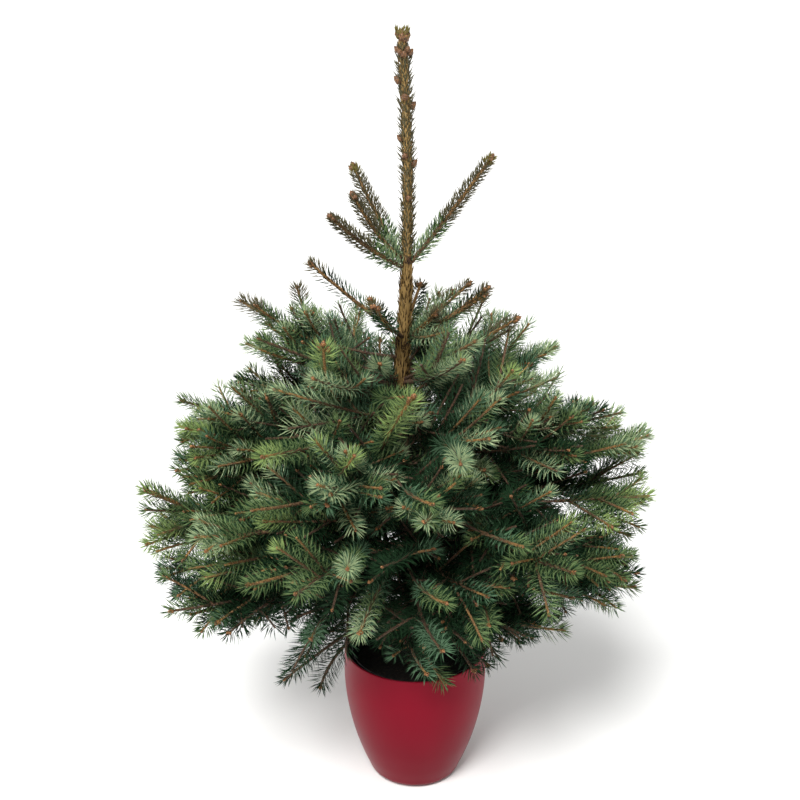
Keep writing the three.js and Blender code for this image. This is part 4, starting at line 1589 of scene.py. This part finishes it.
def studio_world(strength):
    """White walls and ceiling, which look pale. As light they are dim low down in front, where the room is."""
    world = bpy.data.worlds.new("white_studio")
    world.use_nodes = True
    tree = world.node_tree
    tree.nodes.clear()
    way = add(tree, SPLIT, [add(tree, PLACE).outputs["Generated"]]).outputs
    depth = add(tree, MATH, (way["Z"], 0.9, way["Y"]), operation="MULTIPLY_ADD")
    share = add(tree, RANGE, (depth, -1.0, 0.6))
    shade = add(tree, RAMP, [share], ((0.0, "#4C4C4C"), (1.0, "#FFFFFF")))
    light = add(tree, "ShaderNodeBackground", {"Color": shade, "Strength": strength})
    wall = add(tree, "ShaderNodeBackground", {"Color": linear("#F4F4F2"), "Strength": 1.0})
    seen = add(tree, "ShaderNodeLightPath").outputs["Is Camera Ray"]
    both = add(tree, "ShaderNodeMixShader", {0: seen, 1: light, 2: wall})
    add(tree, "ShaderNodeOutputWorld", {"Surface": both})
    return world


class SPRUCE_OT_stage(bpy.types.Operator):
    """Set the pale floor, soft studio light and the camera"""

    bl_idname = "spruce.stage"
    bl_label = "Stage"

    def execute(self, context):
        settings = context.scene.spruce_stage
        half = 18.0
        corners = [(-half, -half, 0), (half, -half, 0), (half, half, 0), (-half, half, 0)]
        mesh = bpy.data.meshes.new("floor")
        mesh.from_pydata(corners, [], [(0, 1, 2, 3)])
        floor = mesh_piece("floor", mesh)
        floor.data.materials.append(
            material("pale_matt_floor", lambda tree: {"Base Color": linear("#F2F2F0"), "Roughness": 0.9})
        )
        context.scene.world = studio_world(settings.sky)
        lamp = bpy.data.lights.new("key_light", "SUN")
        lamp.energy = settings.key
        lamp.angle = math.radians(24)
        placed("key_light", lamp).rotation_euler = (math.radians(38), 0, math.radians(-20))
        for hand in (-1, 1):
            panel = bpy.data.lights.new("side_panel", "AREA")
            panel.shape, panel.size, panel.size_y, panel.energy = "RECTANGLE", 0.6, 1.5, settings.side
            light = placed("side_panel", panel)
            light.location = (1.62 * hand, -0.15, 0.75)
            light.rotation_euler = (math.radians(90), 0, math.radians(85 * hand))
            light.visible_camera = False
        view = bpy.data.cameras.new("camera")
        view.lens = settings.lens
        view.sensor_width = 36
        camera = placed("camera", view)
        camera.location = CAMERA_PLACE
        camera.rotation_euler = (math.radians(90) - settings.pitch, 0, 0)
        context.scene.camera = camera
        context.scene.view_settings.view_transform = "Standard"
        return {"FINISHED"}


# ---- Panel and registration ------------------------------------------------------------------------------

OPERATORS = (
    SPRUCE_OT_planter,
    SPRUCE_OT_nursery_pot,
    SPRUCE_OT_soil,
    SPRUCE_OT_trunk,
    SPRUCE_OT_dead_scales,
    SPRUCE_OT_boughs,
    SPRUCE_OT_twigs,
    SPRUCE_OT_buds,
    SPRUCE_OT_needles,
    SPRUCE_OT_stage,
)
SETTINGS = {
    "spruce_growth": SpruceGrowthSettings,
    "spruce_pots": SprucePotSettings,
    "spruce_stage": SpruceStageSettings,
}


class SPRUCE_PT_panel(bpy.types.Panel):
    """Settings and steps of the potted spruce"""

    bl_idname = "SPRUCE_PT_panel"
    bl_label = "Potted Spruce"
    bl_space_type = "VIEW_3D"
    bl_region_type = "UI"
    bl_category = "Spruce"

    def draw(self, context):
        for name, group in SETTINGS.items():
            box = self.layout.box()
            for setting in group.__annotations__:
                box.prop(getattr(context.scene, name), setting)
        for operator in OPERATORS:
            self.layout.operator(operator.bl_idname)


CLASSES = (*SETTINGS.values(), *OPERATORS, SPRUCE_PT_panel)


def register():
    for cls in CLASSES:
        bpy.utils.register_class(cls)
    for name, group in SETTINGS.items():
        setattr(bpy.types.Scene, name, PointerProperty(type=group))


def unregister():
    for name in SETTINGS:
        delattr(bpy.types.Scene, name)
    for cls in reversed(CLASSES):
        bpy.utils.unregister_class(cls)


def main():
    register()
    for operator in OPERATORS:
        group, name = operator.bl_idname.split(".")
        getattr(getattr(bpy.ops, group), name)()


if __name__ == "__main__":
    main()
